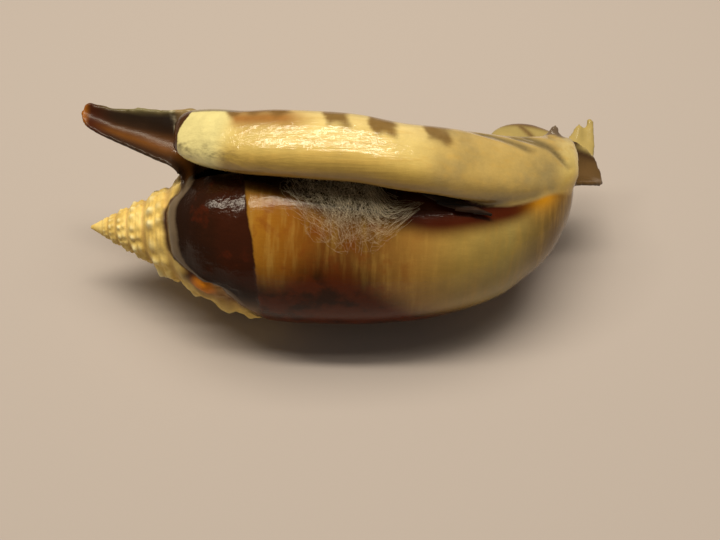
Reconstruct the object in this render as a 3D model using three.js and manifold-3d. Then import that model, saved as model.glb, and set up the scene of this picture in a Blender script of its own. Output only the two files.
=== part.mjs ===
// A spider-conch shell of the species Euprotomus aratus, lying on its left side with the lip uppermost.
// Millimetres, +Z up. While it is being shaped the apex of the spire is at the origin, the coiling axis
// is +X, and an angle around the axis is counted from +Z towards -Y, the way the whorls grow.
import * as THREE from 'three';
import { LoftGeometry } from 'three/addons/geometries/LoftGeometry.js';
import { mergeVertices } from 'three/addons/utils/BufferGeometryUtils.js';
import Module from 'manifold-3d';

const wasm = await Module();
wasm.setup();

// Driving dimensions of the coiled body, spire and last whorl together
const SPIRE_HALF_WIDTH = [[0, 0.05], [2.7, 1.45], [5.8, 2.95], [8.8, 4.5], [11.5, 6.1], [14, 7.5]];
const BODY_HALF_WIDTH = [[17, 9.1], [20, 10.2], [24, 11.2], [28.8, 11.8], [33, 11.9], [37.2, 11.8],
  [41.3, 11.5], [44.1, 11.2], [48.7, 10.8], [53.2, 10.3], [58, 9.1], [61, 7.9], [63.4, 6.8],
  [65, 5.6], [66.4, 4], [67, 2.6], [67.5, 0.2]];
const BODY_LENGTH = 67.5;
const AXIS_BEND = [[0, 0], [46, 0], [53, 1], [58, 2], [61, 3.2], [63.4, 4.2], [65, 5], [67.5, 7.5]];
const AXIS_BEND_ANGLE = -57;
const DORSAL_SWELL = 0.05;
const DORSAL_ANGLE = 240;

// The coil: each turn is this much larger than the one before, and the last suture starts here
const WHORL_GROWTH = 1.42;
const LAST_SUTURE_X = 12.05;
const SUTURE_DEPTH = 0.11;
const SHOULDER_RISE = 0.055;
const NODULES_PER_WHORL = 15;
const NODULE_RISE = 0.11;
const KNOBS = 9;
const KNOB_RISE = 2.5;
const KNOB_WIDTH = 2.6;
const KNOB_MID_ANGLE = 215;
const TUBERCLE_ROWS = [{ x: 29.5, rise: 0.8 }, { x: 40.5, rise: 0.6 }];
const CALLUS_EDGE = [[-65, 18], [-30, 15], [-6, 13.8], [8, 12.4], [21, 12.2], [38, 12.6], [56, 13.1],
  [70, 14.5], [88, 16], [110, 21], [124, 26], [136, 40], [146, 66]];
const CALLUS_RISE = 0.35;

// The ribbon of facets that is wound round the axis to make the body
const ROWS_PER_WHORL = 6;
const COLUMNS = 3 * NODULES_PER_WHORL;
const SEAM_ANGLE = -64;
const APEX_ROWS = 7;
const SPIRE_WHORLS = 5;
const BODY_ROWS = [[0, 0], [22, 36.4], [27, 43.4], [30, 46], [33, 47.4], [34, 47.53]];

// The outer lip: a plate that leaves the body on the dorsal side and ends in a thick inrolled rim
const LIP_STATIONS = [
  { x: 13.6, inner: [4.2, 13.1], top: [6.0, 13.7], bulge: 0.5, depth: 0.7 },
  { x: 14.4, inner: [3.2, 12.9], top: [6.8, 14.1], bulge: 1.1, depth: 1.4 },
  { x: 16, inner: [2.0, 12.9], top: [7.3, 14.5], bulge: 1.6, depth: 2.0 },
  { x: 19, inner: [0.3, 13.7], top: [6.9, 15.6], bulge: 2.1, depth: 2.4 },
  { x: 23, inner: [-1.2, 14.8], top: [6.3, 16.6], bulge: 2.4, depth: 2.6 },
  { x: 27.5, inner: [-2.2, 15.7], top: [5.6, 17.6], bulge: 2.5, depth: 2.7 },
  { x: 33, inner: [-2.9, 16.2], top: [5.3, 18.2], bulge: 2.6, depth: 2.8 },
  { x: 38, inner: [-3.1, 16.1], top: [5.2, 18.2], bulge: 2.6, depth: 2.8 },
  { x: 43, inner: [-3.6, 15.4], top: [4.6, 17.4], bulge: 2.6, depth: 2.6 },
  { x: 47.5, inner: [-3.3, 14.3], top: [5.2, 16.5], bulge: 2.6, depth: 2.0 },
  { x: 52, inner: [-2.6, 12.5], top: [5.8, 15.0], bulge: 2.5, depth: 1.7 },
  { x: 56, inner: [-1.4, 10.8], top: [6.6, 13.3], bulge: 2.5, depth: 1.5 },
  { x: 59.5, inner: [-0.1, 9.3], top: [7.6, 12.0], bulge: 2.3, depth: 1.4 },
  { x: 62.5, inner: [1.4, 8.1], top: [9.0, 10.8], bulge: 2.1, depth: 1.4 },
  { x: 65.3, inner: [3.2, 7.3], top: [10.3, 9.6], bulge: 1.6, depth: 1.2 },
  { x: 66.8, inner: [4.7, 7.2], top: [10.4, 9.0], bulge: 1.0, depth: 0.9 },
  { x: 67.4, inner: [6.2, 7.4], top: [8.8, 8.2], bulge: 0.4, depth: 0.4 },
];
const LIP_ROOT_ANGLE = -68;
const LIP_PLATE = 2.6;
const LIP_ARCH = 1.6;
const LIP_POINTS = 26;

// The posterior finger: a tapering trough, open towards the ventral side
const FINGER_STATIONS = [
  { x: 0, low: [9.3, 12.8], rim: [10.7, 13.2], sag: 0.3, wall: 0.9 },
  { x: 0.5, low: [8.4, 12.4], rim: [11.2, 13.3], sag: 0.6, wall: 1.1 },
  { x: 2, low: [7.4, 12.2], rim: [11.2, 13.3], sag: 1.0, wall: 1.3 },
  { x: 4.5, low: [6.3, 11.8], rim: [10.9, 13.2], sag: 1.4, wall: 1.5 },
  { x: 7.5, low: [5.2, 11.2], rim: [10.5, 13.4], sag: 1.8, wall: 1.7 },
  { x: 10.5, low: [4.1, 10.4], rim: [10.2, 13.7], sag: 2.1, wall: 1.8 },
  { x: 13.2, low: [3.0, 9.8], rim: [10.1, 13.9], sag: 2.4, wall: 1.9 },
  { x: 14.3, low: [1.2, 8.5], rim: [10.0, 14.0], sag: 2.6, wall: 1.9 },
  { x: 15.3, low: [-1.6, 6.6], rim: [10.0, 14.0], sag: 2.8, wall: 1.9 },
  { x: 18, low: [-0.6, 8.4], rim: [10.0, 13.0], sag: 2.8, wall: 1.9 },
  { x: 23, low: [3.0, 8.2], rim: [10.2, 11.0], sag: 1.6, wall: 1.6 },
];
const FINGER_POINTS = 8;

// The siphonal canal: a short gutter that turns away from the opening, its hollow towards the viewer
const CANAL_STATIONS = [
  { near: [60, 5.5, 3.0], middle: [60, 9.5, 0.8], far: [60, 12.6, 6.0], wall: 1.6 },
  { near: [64.2, 6.2, 4.6], middle: [65, 10.6, 2.4], far: [63.6, 14.8, 6.8], wall: 1.4 },
  { near: [67.6, 7.0, 4.7], middle: [68.4, 11.0, 2.2], far: [67.4, 15.1, 5.3], wall: 1.3 },
  { near: [70.2, 8.0, 3.5], middle: [70.9, 11.4, 1.7], far: [70.2, 14.9, 3.6], wall: 1.2 },
  { near: [71.8, 8.8, 2.5], middle: [72.1, 11.2, 1.4], far: [71.6, 14.2, 2.4], wall: 1.0 },
  { near: [72.5, 9.8, 1.9], middle: [72.6, 11.0, 1.4], far: [72.5, 12.6, 1.7], wall: 0.8 },
];
const CANAL_POINTS = 9;
const PRONGS = [
  { base: [67.2, 12.6, 1.9], middle: [68.2, 16.4, 1.5], tip: [69.6, 19.8, 2.5], width: 3.6, tipWidth: 0.5 },
  { base: [70.4, 12.4, 1.5], middle: [71.1, 17.0, 1.3], tip: [71.4, 21.2, 2.4], width: 2.8, tipWidth: 1.1 },
];
const PRONG_THICKNESS = 1.1;
const PRONG_STEPS = 4;

// The throat that joins the canal to the body, and the fold beside the notch
const THROAT = { centre: [61.5, 8.6, 2.6], reach: [6.0, 5.2, 3.6], turn: -0.5 };
const HUMP = { centre: [61.7, 11.3, 6.5], reach: [5.4, 4.0, 1.7], turn: 0.1 };
const HUMP_SLOPE = 0.2;

// The aperture: a slit under the lip that goes round inside the last whorl
const APERTURE_FROM = 15.5;
const APERTURE_TO = 63;
const APERTURE_OUTLINE = [[-8, 0.9], [-16, -1.6], [-34, -4.2], [-58, -5.2], [-84, -5.4], [-108, -4.6],
  [-124, -3.1], [-112, -1.9], [-92, -1.6], [-70, -1.6], [-60, -0.7], [-55, 1.0], [-32, 1.4]];
const APERTURE_STATIONS = 12;

// The small flat spot that the shell rests on
const REST_LEVEL = -11.7;

// The horny operculum that is left in the slit, and the wad of loose fibre beside it
const OPERCULUM_PATH = [{ x: 43, angle: -10, rise: 0.85 }, { x: 49, angle: 11, rise: 0.78 },
  { x: 55, angle: 25, rise: 0.76 }];
const OPERCULUM_WIDTH = 1.5;
const OPERCULUM_THICKNESS = 0.3;
const OPERCULUM_TEETH = 6;
const TOOTH_DEPTH = 0.35;
const WAD_FROM = 28;
const WAD_TO = 46.5;
const WAD_THICKNESS = 1.2;
const WAD_OUTER_ANGLES = [[0, 18], [0.2, 36], [0.45, 47], [0.7, 43], [1, 16]];
const WAD_TUCK_ANGLES = [[0, -10], [0.3, -24], [0.6, -20], [0.72, 5], [1, 12]];
const WAD_STATIONS = 9;
const WAD_POINTS = 8;
const WAD_UNDERSIDE_GAP = 0.2;
const CLEARANCE = 0.35;

const END_CROWN = 0.15;
const FULL_TURN = 360;
const radians = THREE.MathUtils.degToRad;

// The value at x of a smooth curve through the stations [x, value]
function along(stations, x) {
  const last = stations.length - 1;
  if (x <= stations[0][0]) return stations[0][1];
  if (x >= stations[last][0]) return stations[last][1];
  const i = stations.findIndex(([at]) => at > x) - 1;
  const [[x0, v0], [x1, v1]] = [stations[i], stations[i + 1]];
  const slope = (a, b) => (stations[b][1] - stations[a][1]) / (stations[b][0] - stations[a][0]);
  const m0 = slope(Math.max(i - 1, 0), i + 1) * (x1 - x0);
  const m1 = slope(i, Math.min(i + 2, last)) * (x1 - x0);
  const t = (x - x0) / (x1 - x0);
  const t2 = t * t;
  const t3 = t2 * t;
  return (2 * t3 - 3 * t2 + 1) * v0 + (t3 - 2 * t2 + t) * m0 + (3 * t2 - 2 * t3) * v1 + (t3 - t2) * m1;
}

const hill = (distance, width) => Math.exp(-((distance / width) ** 2));
const ease = (value, from, to) => THREE.MathUtils.smoothstep(value, from, to);

// The angle brought into the one turn that starts at the seam
const wrapped = (angle) => THREE.MathUtils.euclideanModulo(angle - SEAM_ANGLE, FULL_TURN) + SEAM_ANGLE;

// Mean radius of the coiled body at x, before its sculpture
const HALF_WIDTH = [...SPIRE_HALF_WIDTH, ...BODY_HALF_WIDTH];
const envelope = (x) => Math.max(along(HALF_WIDTH, x), 0.02);

// How many whorls a point lies beyond the last suture, negative on the spire
const whorlsPastSuture = (x, angle) =>
  Math.log(Math.max(x, 0.1) / LAST_SUTURE_X) / Math.log(WHORL_GROWTH) - angle / FULL_TURN;

// Suture grooves, shoulders and nodules of the spire, as a share of the radius
function spireSculpture(x, angle) {
  const whorls = whorlsPastSuture(x, angle);
  const place = THREE.MathUtils.euclideanModulo(whorls, 1);
  const fade = 1 - ease(whorls, 0.05, 0.75);
  const suture = whorls < 0.5 ? hill(Math.min(place, 1 - place), 0.12) : 0;
  const nodule = 0.5 + 0.5 * Math.cos(radians(NODULES_PER_WHORL * (angle - SEAM_ANGLE)));
  const rows = hill(place - 0.36, 0.17) + 0.55 * hill(place - 0.7, 0.13);
  const shoulder = SHOULDER_RISE * hill(place - 0.42, 0.28);
  const fine = ease(x, 1.5, 4.5);
  return fine * (fade * (shoulder + NODULE_RISE * rows * nodule) - SUTURE_DEPTH * suture);
}

// Knobs on the shoulder of the last whorl and the two rows of tubercles below it, in millimetres
function bodyKnobs(x, angle) {
  const beyondSuture = x - LAST_SUTURE_X * WHORL_GROWTH ** (angle / FULL_TURN);
  const spread = ease(angle, 92, 150) * (1 - ease(angle, 268, 296));
  const size = 0.4 + 0.6 * hill(angle - KNOB_MID_ANGLE, 55);
  const beat = 0.5 + 0.5 * Math.cos(radians(KNOBS * (angle - KNOB_MID_ANGLE)));
  const shoulderX = 5.4 + 2.2 * ease(angle, 100, 250);
  const shoulder = KNOB_RISE * size * beat ** 1.5 * hill(beyondSuture - shoulderX, KNOB_WIDTH);
  const keel = 0.5 * hill(beyondSuture - shoulderX, KNOB_WIDTH);
  const lower = TUBERCLE_ROWS.map(({ x: rowX, rise }) => rise * beat * size * hill(x - rowX, 2.4));
  return spread * (shoulder + keel + lower.reduce((sum, value) => sum + value));
}

// The glaze laid over the ventral side, a little proud of what it covers
function callus(x, angle) {
  if (angle > CALLUS_EDGE.at(-1)[0]) return 0;
  return CALLUS_RISE * ease(x - along(CALLUS_EDGE, angle), 0, 0.9) * (1 - ease(angle, 128, 146));
}

// Radius of the finished body at x and an angle
function bodyRadius(x, rawAngle) {
  const angle = wrapped(rawAngle);
  const swell = 1 + DORSAL_SWELL * Math.max(0, Math.cos(radians(angle - DORSAL_ANGLE)));
  const round = envelope(x) * swell * (1 + spireSculpture(x, angle));
  return round + bodyKnobs(x, angle) * ease(x, 12, 15) + callus(x, angle) * ease(BODY_LENGTH - x, 0, 6);
}

// A point in space from x, an angle round the bent axis and a radius
function fromAxis(x, angle, radius) {
  const bend = along(AXIS_BEND, x);
  const turn = radians(angle);
  const bendTurn = radians(AXIS_BEND_ANGLE);
  return new THREE.Vector3(x, -Math.sin(turn) * radius - Math.sin(bendTurn) * bend,
    Math.cos(turn) * radius + Math.cos(bendTurn) * bend);
}

// How far along the axis a row of the wound ribbon lies
const SPIRE_START = LAST_SUTURE_X / WHORL_GROWTH ** (SPIRE_WHORLS - 1.5);
function rowX(row) {
  if (row <= 0) return 0;
  if (row < APEX_ROWS) return (SPIRE_START * row) / APEX_ROWS;
  const spireRows = SPIRE_WHORLS * ROWS_PER_WHORL;
  if (row <= APEX_ROWS + spireRows) {
    return SPIRE_START * WHORL_GROWTH ** ((row - APEX_ROWS) / ROWS_PER_WHORL);
  }
  const bodyStart = SPIRE_START * WHORL_GROWTH ** SPIRE_WHORLS;
  const share = (BODY_LENGTH - bodyStart) / BODY_ROWS.at(-1)[1];
  return bodyStart + share * along(BODY_ROWS, row - APEX_ROWS - spireRows);
}

// The coiled body: one ribbon wound round the axis, whose edges meet after each turn
function coiledBody() {
  const lastRow = APEX_ROWS + SPIRE_WHORLS * ROWS_PER_WHORL + BODY_ROWS.at(-1)[0];
  const positions = [];
  const index = [];
  for (let row = -ROWS_PER_WHORL; row <= lastRow; row += 1) {
    for (let column = 0; column <= COLUMNS; column += 1) {
      const angle = SEAM_ANGLE + (column / COLUMNS) * FULL_TURN;
      const x = rowX(row + (column / COLUMNS) * ROWS_PER_WHORL);
      const closed = x <= 0 || x >= BODY_LENGTH;
      const radius = closed ? 0 : bodyRadius(x, column === COLUMNS ? SEAM_ANGLE : angle);
      positions.push(...fromAxis(x, angle, radius).toArray());
      if (row === lastRow || column === COLUMNS) continue;
      const here = (row + ROWS_PER_WHORL) * (COLUMNS + 1) + column;
      const next = here + COLUMNS + 1;
      index.push(here, here + 1, next, here + 1, next + 1, next);
    }
  }
  const geometry = new THREE.BufferGeometry();
  geometry.setAttribute('position', new THREE.Float32BufferAttribute(positions, 3));
  geometry.setIndex(index);
  return geometry;
}

// A closed solid for joining and cutting, its shared corners merged and its faces pointing out
function solid(geometry) {
  const plain = new THREE.BufferGeometry();
  plain.setAttribute('position', geometry.attributes.position);
  plain.setIndex(geometry.index);
  const merged = mergeVertices(plain, 1e-3);
  const corners = Array.from(merged.index.array);
  const kept = [];
  for (let i = 0; i < corners.length; i += 3) {
    const [a, b, c] = corners.slice(i, i + 3);
    if (a !== b && b !== c && c !== a) kept.push(a, b, c);
  }
  const build = (triangles) => new wasm.Manifold(new wasm.Mesh({
    numProp: 3,
    vertProperties: new Float32Array(merged.attributes.position.array),
    triVerts: new Uint32Array(triangles),
  }));
  const made = build(kept);
  return made.volume() > 0 ? made : build(kept.reverse());
}

// A mesh geometry from a joined or cut solid
function geometryOf(made) {
  const { vertProperties, triVerts } = made.getMesh();
  const geometry = new THREE.BufferGeometry();
  geometry.setAttribute('position', new THREE.BufferAttribute(vertProperties, 3));
  geometry.setIndex(new THREE.BufferAttribute(triVerts, 1));
  geometry.computeVertexNormals();
  return geometry;
}

const middleOf = (section) =>
  section.reduce((sum, point) => sum.add(point), new THREE.Vector3()).divideScalar(section.length);

// The end section drawn together into a low point just beyond it, which closes the end of a loft
function gathered(section, neighbour) {
  const middle = middleOf(section);
  const onward = middle.clone().sub(middleOf(neighbour)).normalize();
  const point = middle.addScaledVector(onward, END_CROWN);
  return section.map(() => point.clone());
}

// A solid through closed sections, which are turned round if they run clockwise along the loft
function lofted(sections) {
  const [first, second] = sections;
  const turn = first.reduce((sum, point, i) =>
    sum.add(point.clone().cross(first[(i + 1) % first.length])), new THREE.Vector3());
  const forward = second.reduce((sum, point, i) => sum.add(point).sub(first[i]), new THREE.Vector3());
  const ordered = turn.dot(forward) > 0 ? sections : sections.map((section) => [...section].reverse());
  const start = gathered(ordered[0], ordered[1]);
  const end = gathered(ordered.at(-1), ordered.at(-2));
  return solid(new LoftGeometry([start, ...ordered, end]));
}

// A closed section at x, rounded through corners given as [y, z]
function roundedSection(x, corners, count) {
  const curve = new THREE.CatmullRomCurve3(corners.map(([y, z]) => new THREE.Vector3(x, y, z)), true,
    'centripetal');
  return curve.getSpacedPoints(count).slice(0, count);
}

// One section of the outer lip: up the plate's outside, over the rolled rim and back down its inside
function lipSection({ x, inner, top, bulge, depth }) {
  const [iy, iz] = inner;
  const [ty, tz] = top;
  const span = Math.hypot(ty - iy, tz - iz);
  const [ny, nz] = [-(tz - iz) / span, (ty - iy) / span];
  const across = (share, rise) => [iy + (ty - iy) * share + ny * rise, iz + (tz - iz) * share + nz * rise];
  const radius = bodyRadius(x, LIP_ROOT_ANGLE);
  const sunk = fromAxis(x, LIP_ROOT_ANGLE - 13, radius - 0.7);
  const rootOut = fromAxis(x, LIP_ROOT_ANGLE - 7, radius + 1.1);
  const rootIn = fromAxis(x, LIP_ROOT_ANGLE + 8, radius - 0.9);
  const deep = fromAxis(x, LIP_ROOT_ANGLE, radius - 1.4);
  const arch = [(rootOut.y + ty) / 2 + LIP_ARCH, (rootOut.z + tz) / 2 - 0.2 * LIP_ARCH];
  const plate = Math.min(LIP_PLATE, depth + 0.6);
  return roundedSection(x, [
    [deep.y, deep.z],
    [sunk.y, sunk.z],
    [rootOut.y, rootOut.z],
    arch,
    across(1.04, 0),
    across(0.86, 0.85 * bulge),
    across(0.5, bulge),
    across(0.16, 0.8 * bulge),
    across(0, 0),
    across(0.14, -0.8 * depth),
    across(0.5, -depth),
    across(0.82, -1.25 * depth),
    [arch[0] - plate, arch[1] - 0.35 * plate],
    [rootIn.y, rootIn.z],
  ], LIP_POINTS);
}

// A closed loop round a curved sheet: along its hollow face and back along its outer face
function sheetSection(curve, outward, wall, count) {
  const hollow = curve.getSpacedPoints(count - 1);
  const outer = hollow.map((point, i) => {
    const share = Math.sin((Math.PI * (i + 0.5)) / count);
    return point.clone().addScaledVector(outward, wall * (0.55 + 0.45 * share));
  });
  return [...hollow, ...outer.reverse()];
}

// One section of the finger, sagging away from the viewer between its low edge and its rim
function fingerSection({ x, low, rim, sag, wall }) {
  const span = Math.hypot(rim[0] - low[0], rim[1] - low[1]);
  const outward = new THREE.Vector3(0, (rim[1] - low[1]) / span, -(rim[0] - low[0]) / span);
  const at = (share, depth) => new THREE.Vector3(x, low[0] + (rim[0] - low[0]) * share,
    low[1] + (rim[1] - low[1]) * share).addScaledVector(outward, depth);
  const curve = new THREE.CatmullRomCurve3([at(0, 0), at(0.25, 0.8 * sag), at(0.6, sag), at(1, 0)]);
  return sheetSection(curve, outward, wall, FINGER_POINTS);
}

// One section of the canal's gutter
function canalSection({ near, middle, far, wall }) {
  const [a, b, c] = [near, middle, far].map((point) => new THREE.Vector3(...point));
  const outward = b.clone().sub(a.clone().add(c).multiplyScalar(0.5)).normalize();
  return sheetSection(new THREE.CatmullRomCurve3([a, b, c]), outward, wall, CANAL_POINTS);
}

// A rounded swelling, such as the fold beside the notch
function swelling({ centre, reach, turn }) {
  const shape = new THREE.SphereGeometry(1, 14, 8);
  shape.scale(...reach);
  shape.rotateY(HUMP_SLOPE);
  shape.rotateX(turn);
  shape.translate(...centre);
  return solid(shape);
}

// One of the two thin points behind the canal, a blade that narrows to its tip
function prong({ base, middle, tip, width, tipWidth }) {
  const curve = new THREE.CatmullRomCurve3([base, middle, tip].map((point) => new THREE.Vector3(...point)));
  const sections = [];
  for (let i = 0; i <= PRONG_STEPS; i += 1) {
    const share = i / PRONG_STEPS;
    const centre = curve.getPointAt(share);
    const side = curve.getTangentAt(share).cross(new THREE.Vector3(0, 0, 1)).normalize();
    const half = THREE.MathUtils.lerp(width, tipWidth, share) / 2;
    const thick = THREE.MathUtils.lerp(PRONG_THICKNESS, 0.5, share) / 2;
    sections.push([[-1, 0.2], [-0.5, -0.8], [0.5, -0.8], [1, 0.2], [0.5, 1], [-0.5, 1]].map(([across, up]) =>
      centre.clone().addScaledVector(side, across * half).add(new THREE.Vector3(0, 0, up * thick))));
  }
  return lofted(sections);
}

// The space inside the aperture
function apertureSpace() {
  const sections = [];
  for (let i = 0; i <= APERTURE_STATIONS; i += 1) {
    const x = THREE.MathUtils.lerp(APERTURE_FROM, APERTURE_TO, i / APERTURE_STATIONS);
    const middle = 1 - Math.abs((2 * i) / APERTURE_STATIONS - 1) ** 3;
    const reach = 0.25 + 0.75 * middle;
    const room = (envelope(x) / 12.3) * reach;
    sections.push(APERTURE_OUTLINE.map(([angle, rise]) => {
      const swung = -30 + (angle + 30) * (0.45 + 0.55 * reach);
      return fromAxis(x, swung, envelope(x) + (rise > 0 ? rise : rise * room - 0.4 * (1 - reach)));
    }));
  }
  return lofted(sections);
}

// What lies below the resting level, to be cut away
function belowRest() {
  const slab = new THREE.BoxGeometry(200, 200, 40);
  slab.translate(0, 0, REST_LEVEL - 20);
  return solid(slab);
}

function shellGeometry() {
  const body = solid(coiledBody());
  const lip = lofted(LIP_STATIONS.map(lipSection));
  const finger = lofted(FINGER_STATIONS.map(fingerSection));
  const canal = lofted(CANAL_STATIONS.map(canalSection));
  const [first, second] = PRONGS.map(prong);
  const end = canal.add(first).add(second).add(swelling(THROAT)).add(swelling(HUMP));
  const joined = body.add(lip).add(finger).add(end);
  return geometryOf(joined.subtract(apertureSpace()).subtract(belowRest()));
}

// The operculum: a narrow claw with saw teeth along one edge
function operculumGeometry() {
  const curve = new THREE.CatmullRomCurve3(OPERCULUM_PATH.map(({ x, angle, rise }) =>
    fromAxis(x, angle, bodyRadius(x, angle) + rise)));
  const steps = 2 * OPERCULUM_TEETH;
  const sections = [];
  for (let i = 0; i <= steps; i += 1) {
    const share = i / steps;
    const centre = curve.getPointAt(share);
    const forward = curve.getTangentAt(share);
    const side = forward.clone().cross(new THREE.Vector3(0, centre.y, centre.z)).normalize();
    const lift = side.clone().cross(forward).normalize();
    const width = OPERCULUM_WIDTH * Math.max(0.12, Math.sin(Math.PI * (0.18 + 0.8 * share))) / 2 + 0.1;
    const tooth = i % 2 === 0 ? TOOTH_DEPTH * Math.min(1, 4 * (1 - share)) : 0;
    const corner = (across, up) => centre.clone().addScaledVector(side, across).addScaledVector(lift, up);
    sections.push([
      corner(-width, 0), corner(0, -OPERCULUM_THICKNESS), corner(width + tooth, 0),
      corner(0, OPERCULUM_THICKNESS),
    ]);
  }
  return geometryOf(lofted(sections));
}

// The wad: a low cushion that follows the body and is tucked under the lip
function wadGeometry() {
  const sections = [];
  for (let i = 0; i <= WAD_STATIONS; i += 1) {
    const share = i / WAD_STATIONS;
    const x = THREE.MathUtils.lerp(WAD_FROM, WAD_TO, share);
    const fullness = 0.35 + 0.65 * Math.sin(Math.PI * (0.08 + 0.84 * share));
    const near = along(WAD_TUCK_ANGLES, share);
    const far = along(WAD_OUTER_ANGLES, share);
    const under = [];
    const over = [];
    for (let step = 0; step < WAD_POINTS; step += 1) {
      const angle = THREE.MathUtils.lerp(near, far, step / (WAD_POINTS - 1));
      const crown = 0.25 + 0.75 * Math.sin((Math.PI * (step + 0.5)) / WAD_POINTS);
      const base = bodyRadius(x, angle) + CLEARANCE + WAD_UNDERSIDE_GAP;
      under.push(fromAxis(x, angle, base));
      over.unshift(fromAxis(x, angle, base + WAD_THICKNESS * fullness * crown));
    }
    sections.push([...under, ...over]);
  }
  return geometryOf(lofted(sections));
}

function piece(name, geometry, material) {
  const mesh = new THREE.Mesh(geometry, new THREE.MeshStandardMaterial(material));
  mesh.name = name;
  return mesh;
}

const shell = piece('shell', shellGeometry(), { color: 0xa9803a, roughness: 0.25, metalness: 0 });
const operculum = piece('operculum', operculumGeometry(), { color: 0x2a1408, roughness: 0.45, metalness: 0 });
const wad = piece('fibre_wad', wadGeometry(), { color: 0xd8ccb0, roughness: 0.95, metalness: 0 });

// The finished part stands on its flat spot, with its origin below the middle of its box
const part = new THREE.Group();
part.name = 'euprotomus_shell';
part.add(shell, operculum, wad);
const box = new THREE.Box3().setFromObject(part);
const middle = box.getCenter(new THREE.Vector3());
part.position.set(-middle.x, -middle.y, -box.min.z);

export default part;
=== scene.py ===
"""Looks of a right-handed conch shell that lies on a small flat spot, lip uppermost.

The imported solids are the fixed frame. Each piece is shaped in millimetres with the spire's apex at the
origin and the coiling axis along +X, then settled into the frame's metres in one step.
"""

from __future__ import annotations

import logging
import math
from dataclasses import dataclass, field
from enum import Enum
from typing import Callable, Sequence

import bpy
import numpy as np
from mathutils import Matrix, Vector
from mathutils.bvhtree import BVHTree


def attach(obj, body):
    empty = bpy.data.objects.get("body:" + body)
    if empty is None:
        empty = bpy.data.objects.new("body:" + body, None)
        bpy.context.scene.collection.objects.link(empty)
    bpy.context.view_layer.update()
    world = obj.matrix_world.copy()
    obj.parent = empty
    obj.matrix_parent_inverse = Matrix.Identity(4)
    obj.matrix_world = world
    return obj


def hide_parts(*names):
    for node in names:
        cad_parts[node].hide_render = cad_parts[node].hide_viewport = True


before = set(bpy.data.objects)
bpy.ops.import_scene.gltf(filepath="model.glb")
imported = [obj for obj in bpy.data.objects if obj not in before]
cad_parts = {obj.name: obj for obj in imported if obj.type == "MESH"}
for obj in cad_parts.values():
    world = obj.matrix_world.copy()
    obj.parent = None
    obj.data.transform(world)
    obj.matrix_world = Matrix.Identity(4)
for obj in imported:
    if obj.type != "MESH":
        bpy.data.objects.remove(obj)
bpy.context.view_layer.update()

LOG = logging.getLogger("conch")
MM = 0.001
FULL_TURN = 360.0
APEX = (-36.328, -4.497, 11.7)
REST_LEVEL = -11.7

Curve = Sequence[tuple[float, float]]
Colour = tuple[float, float, float]
Stops = Sequence[tuple[float, Colour]]
Socket = bpy.types.NodeSocket


def along(stations: Curve, where: np.ndarray) -> np.ndarray:
    """Read a smooth curve through its stations.

    Args:
        stations: Pairs of place and value, in rising order of place.
        where: The places to read.

    Returns:
        The values there, held level beyond both ends.
    """
    place, value = (np.array(column, float) for column in zip(*stations))
    before = np.maximum(np.arange(len(place)) - 1, 0)
    after = np.minimum(np.arange(len(place)) + 1, len(place) - 1)
    slope = (value[after] - value[before]) / (place[after] - place[before])
    x = np.clip(np.asarray(where, float), place[0], place[-1])
    i = np.clip(np.searchsorted(place, x, side="right") - 1, 0, len(place) - 2)
    width = place[i + 1] - place[i]
    t = (x - place[i]) / width
    start = (2 * t**3 - 3 * t**2 + 1) * value[i] + (t**3 - 2 * t**2 + t) * slope[i] * width
    end = (3 * t**2 - 2 * t**3) * value[i + 1] + (t**3 - t**2) * slope[i + 1] * width
    return start + end


def ease(value: np.ndarray, start: float | np.ndarray, end: float | np.ndarray) -> np.ndarray:
    """Rise smoothly from 0 at start to 1 at end."""
    t = np.clip((value - start) / (end - start), 0.0, 1.0)
    return t * t * (3.0 - 2.0 * t)


def hill(distance: np.ndarray, width: float) -> np.ndarray:
    """A rounded hill of height 1 and the given half width."""
    return np.exp(-((distance / width) ** 2))


def ripple(*terms: tuple[np.ndarray, float]) -> np.ndarray:
    """A gentle irregular wave, from several sines of places and phases."""
    return sum(np.sin(place + phase) for place, phase in terms) / len(terms)


class Slot(Enum):
    """The record's material slots."""

    GLAZE = "shell_glaze"
    HORN = "horn"
    FIBRE = "white_fibre"


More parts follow.
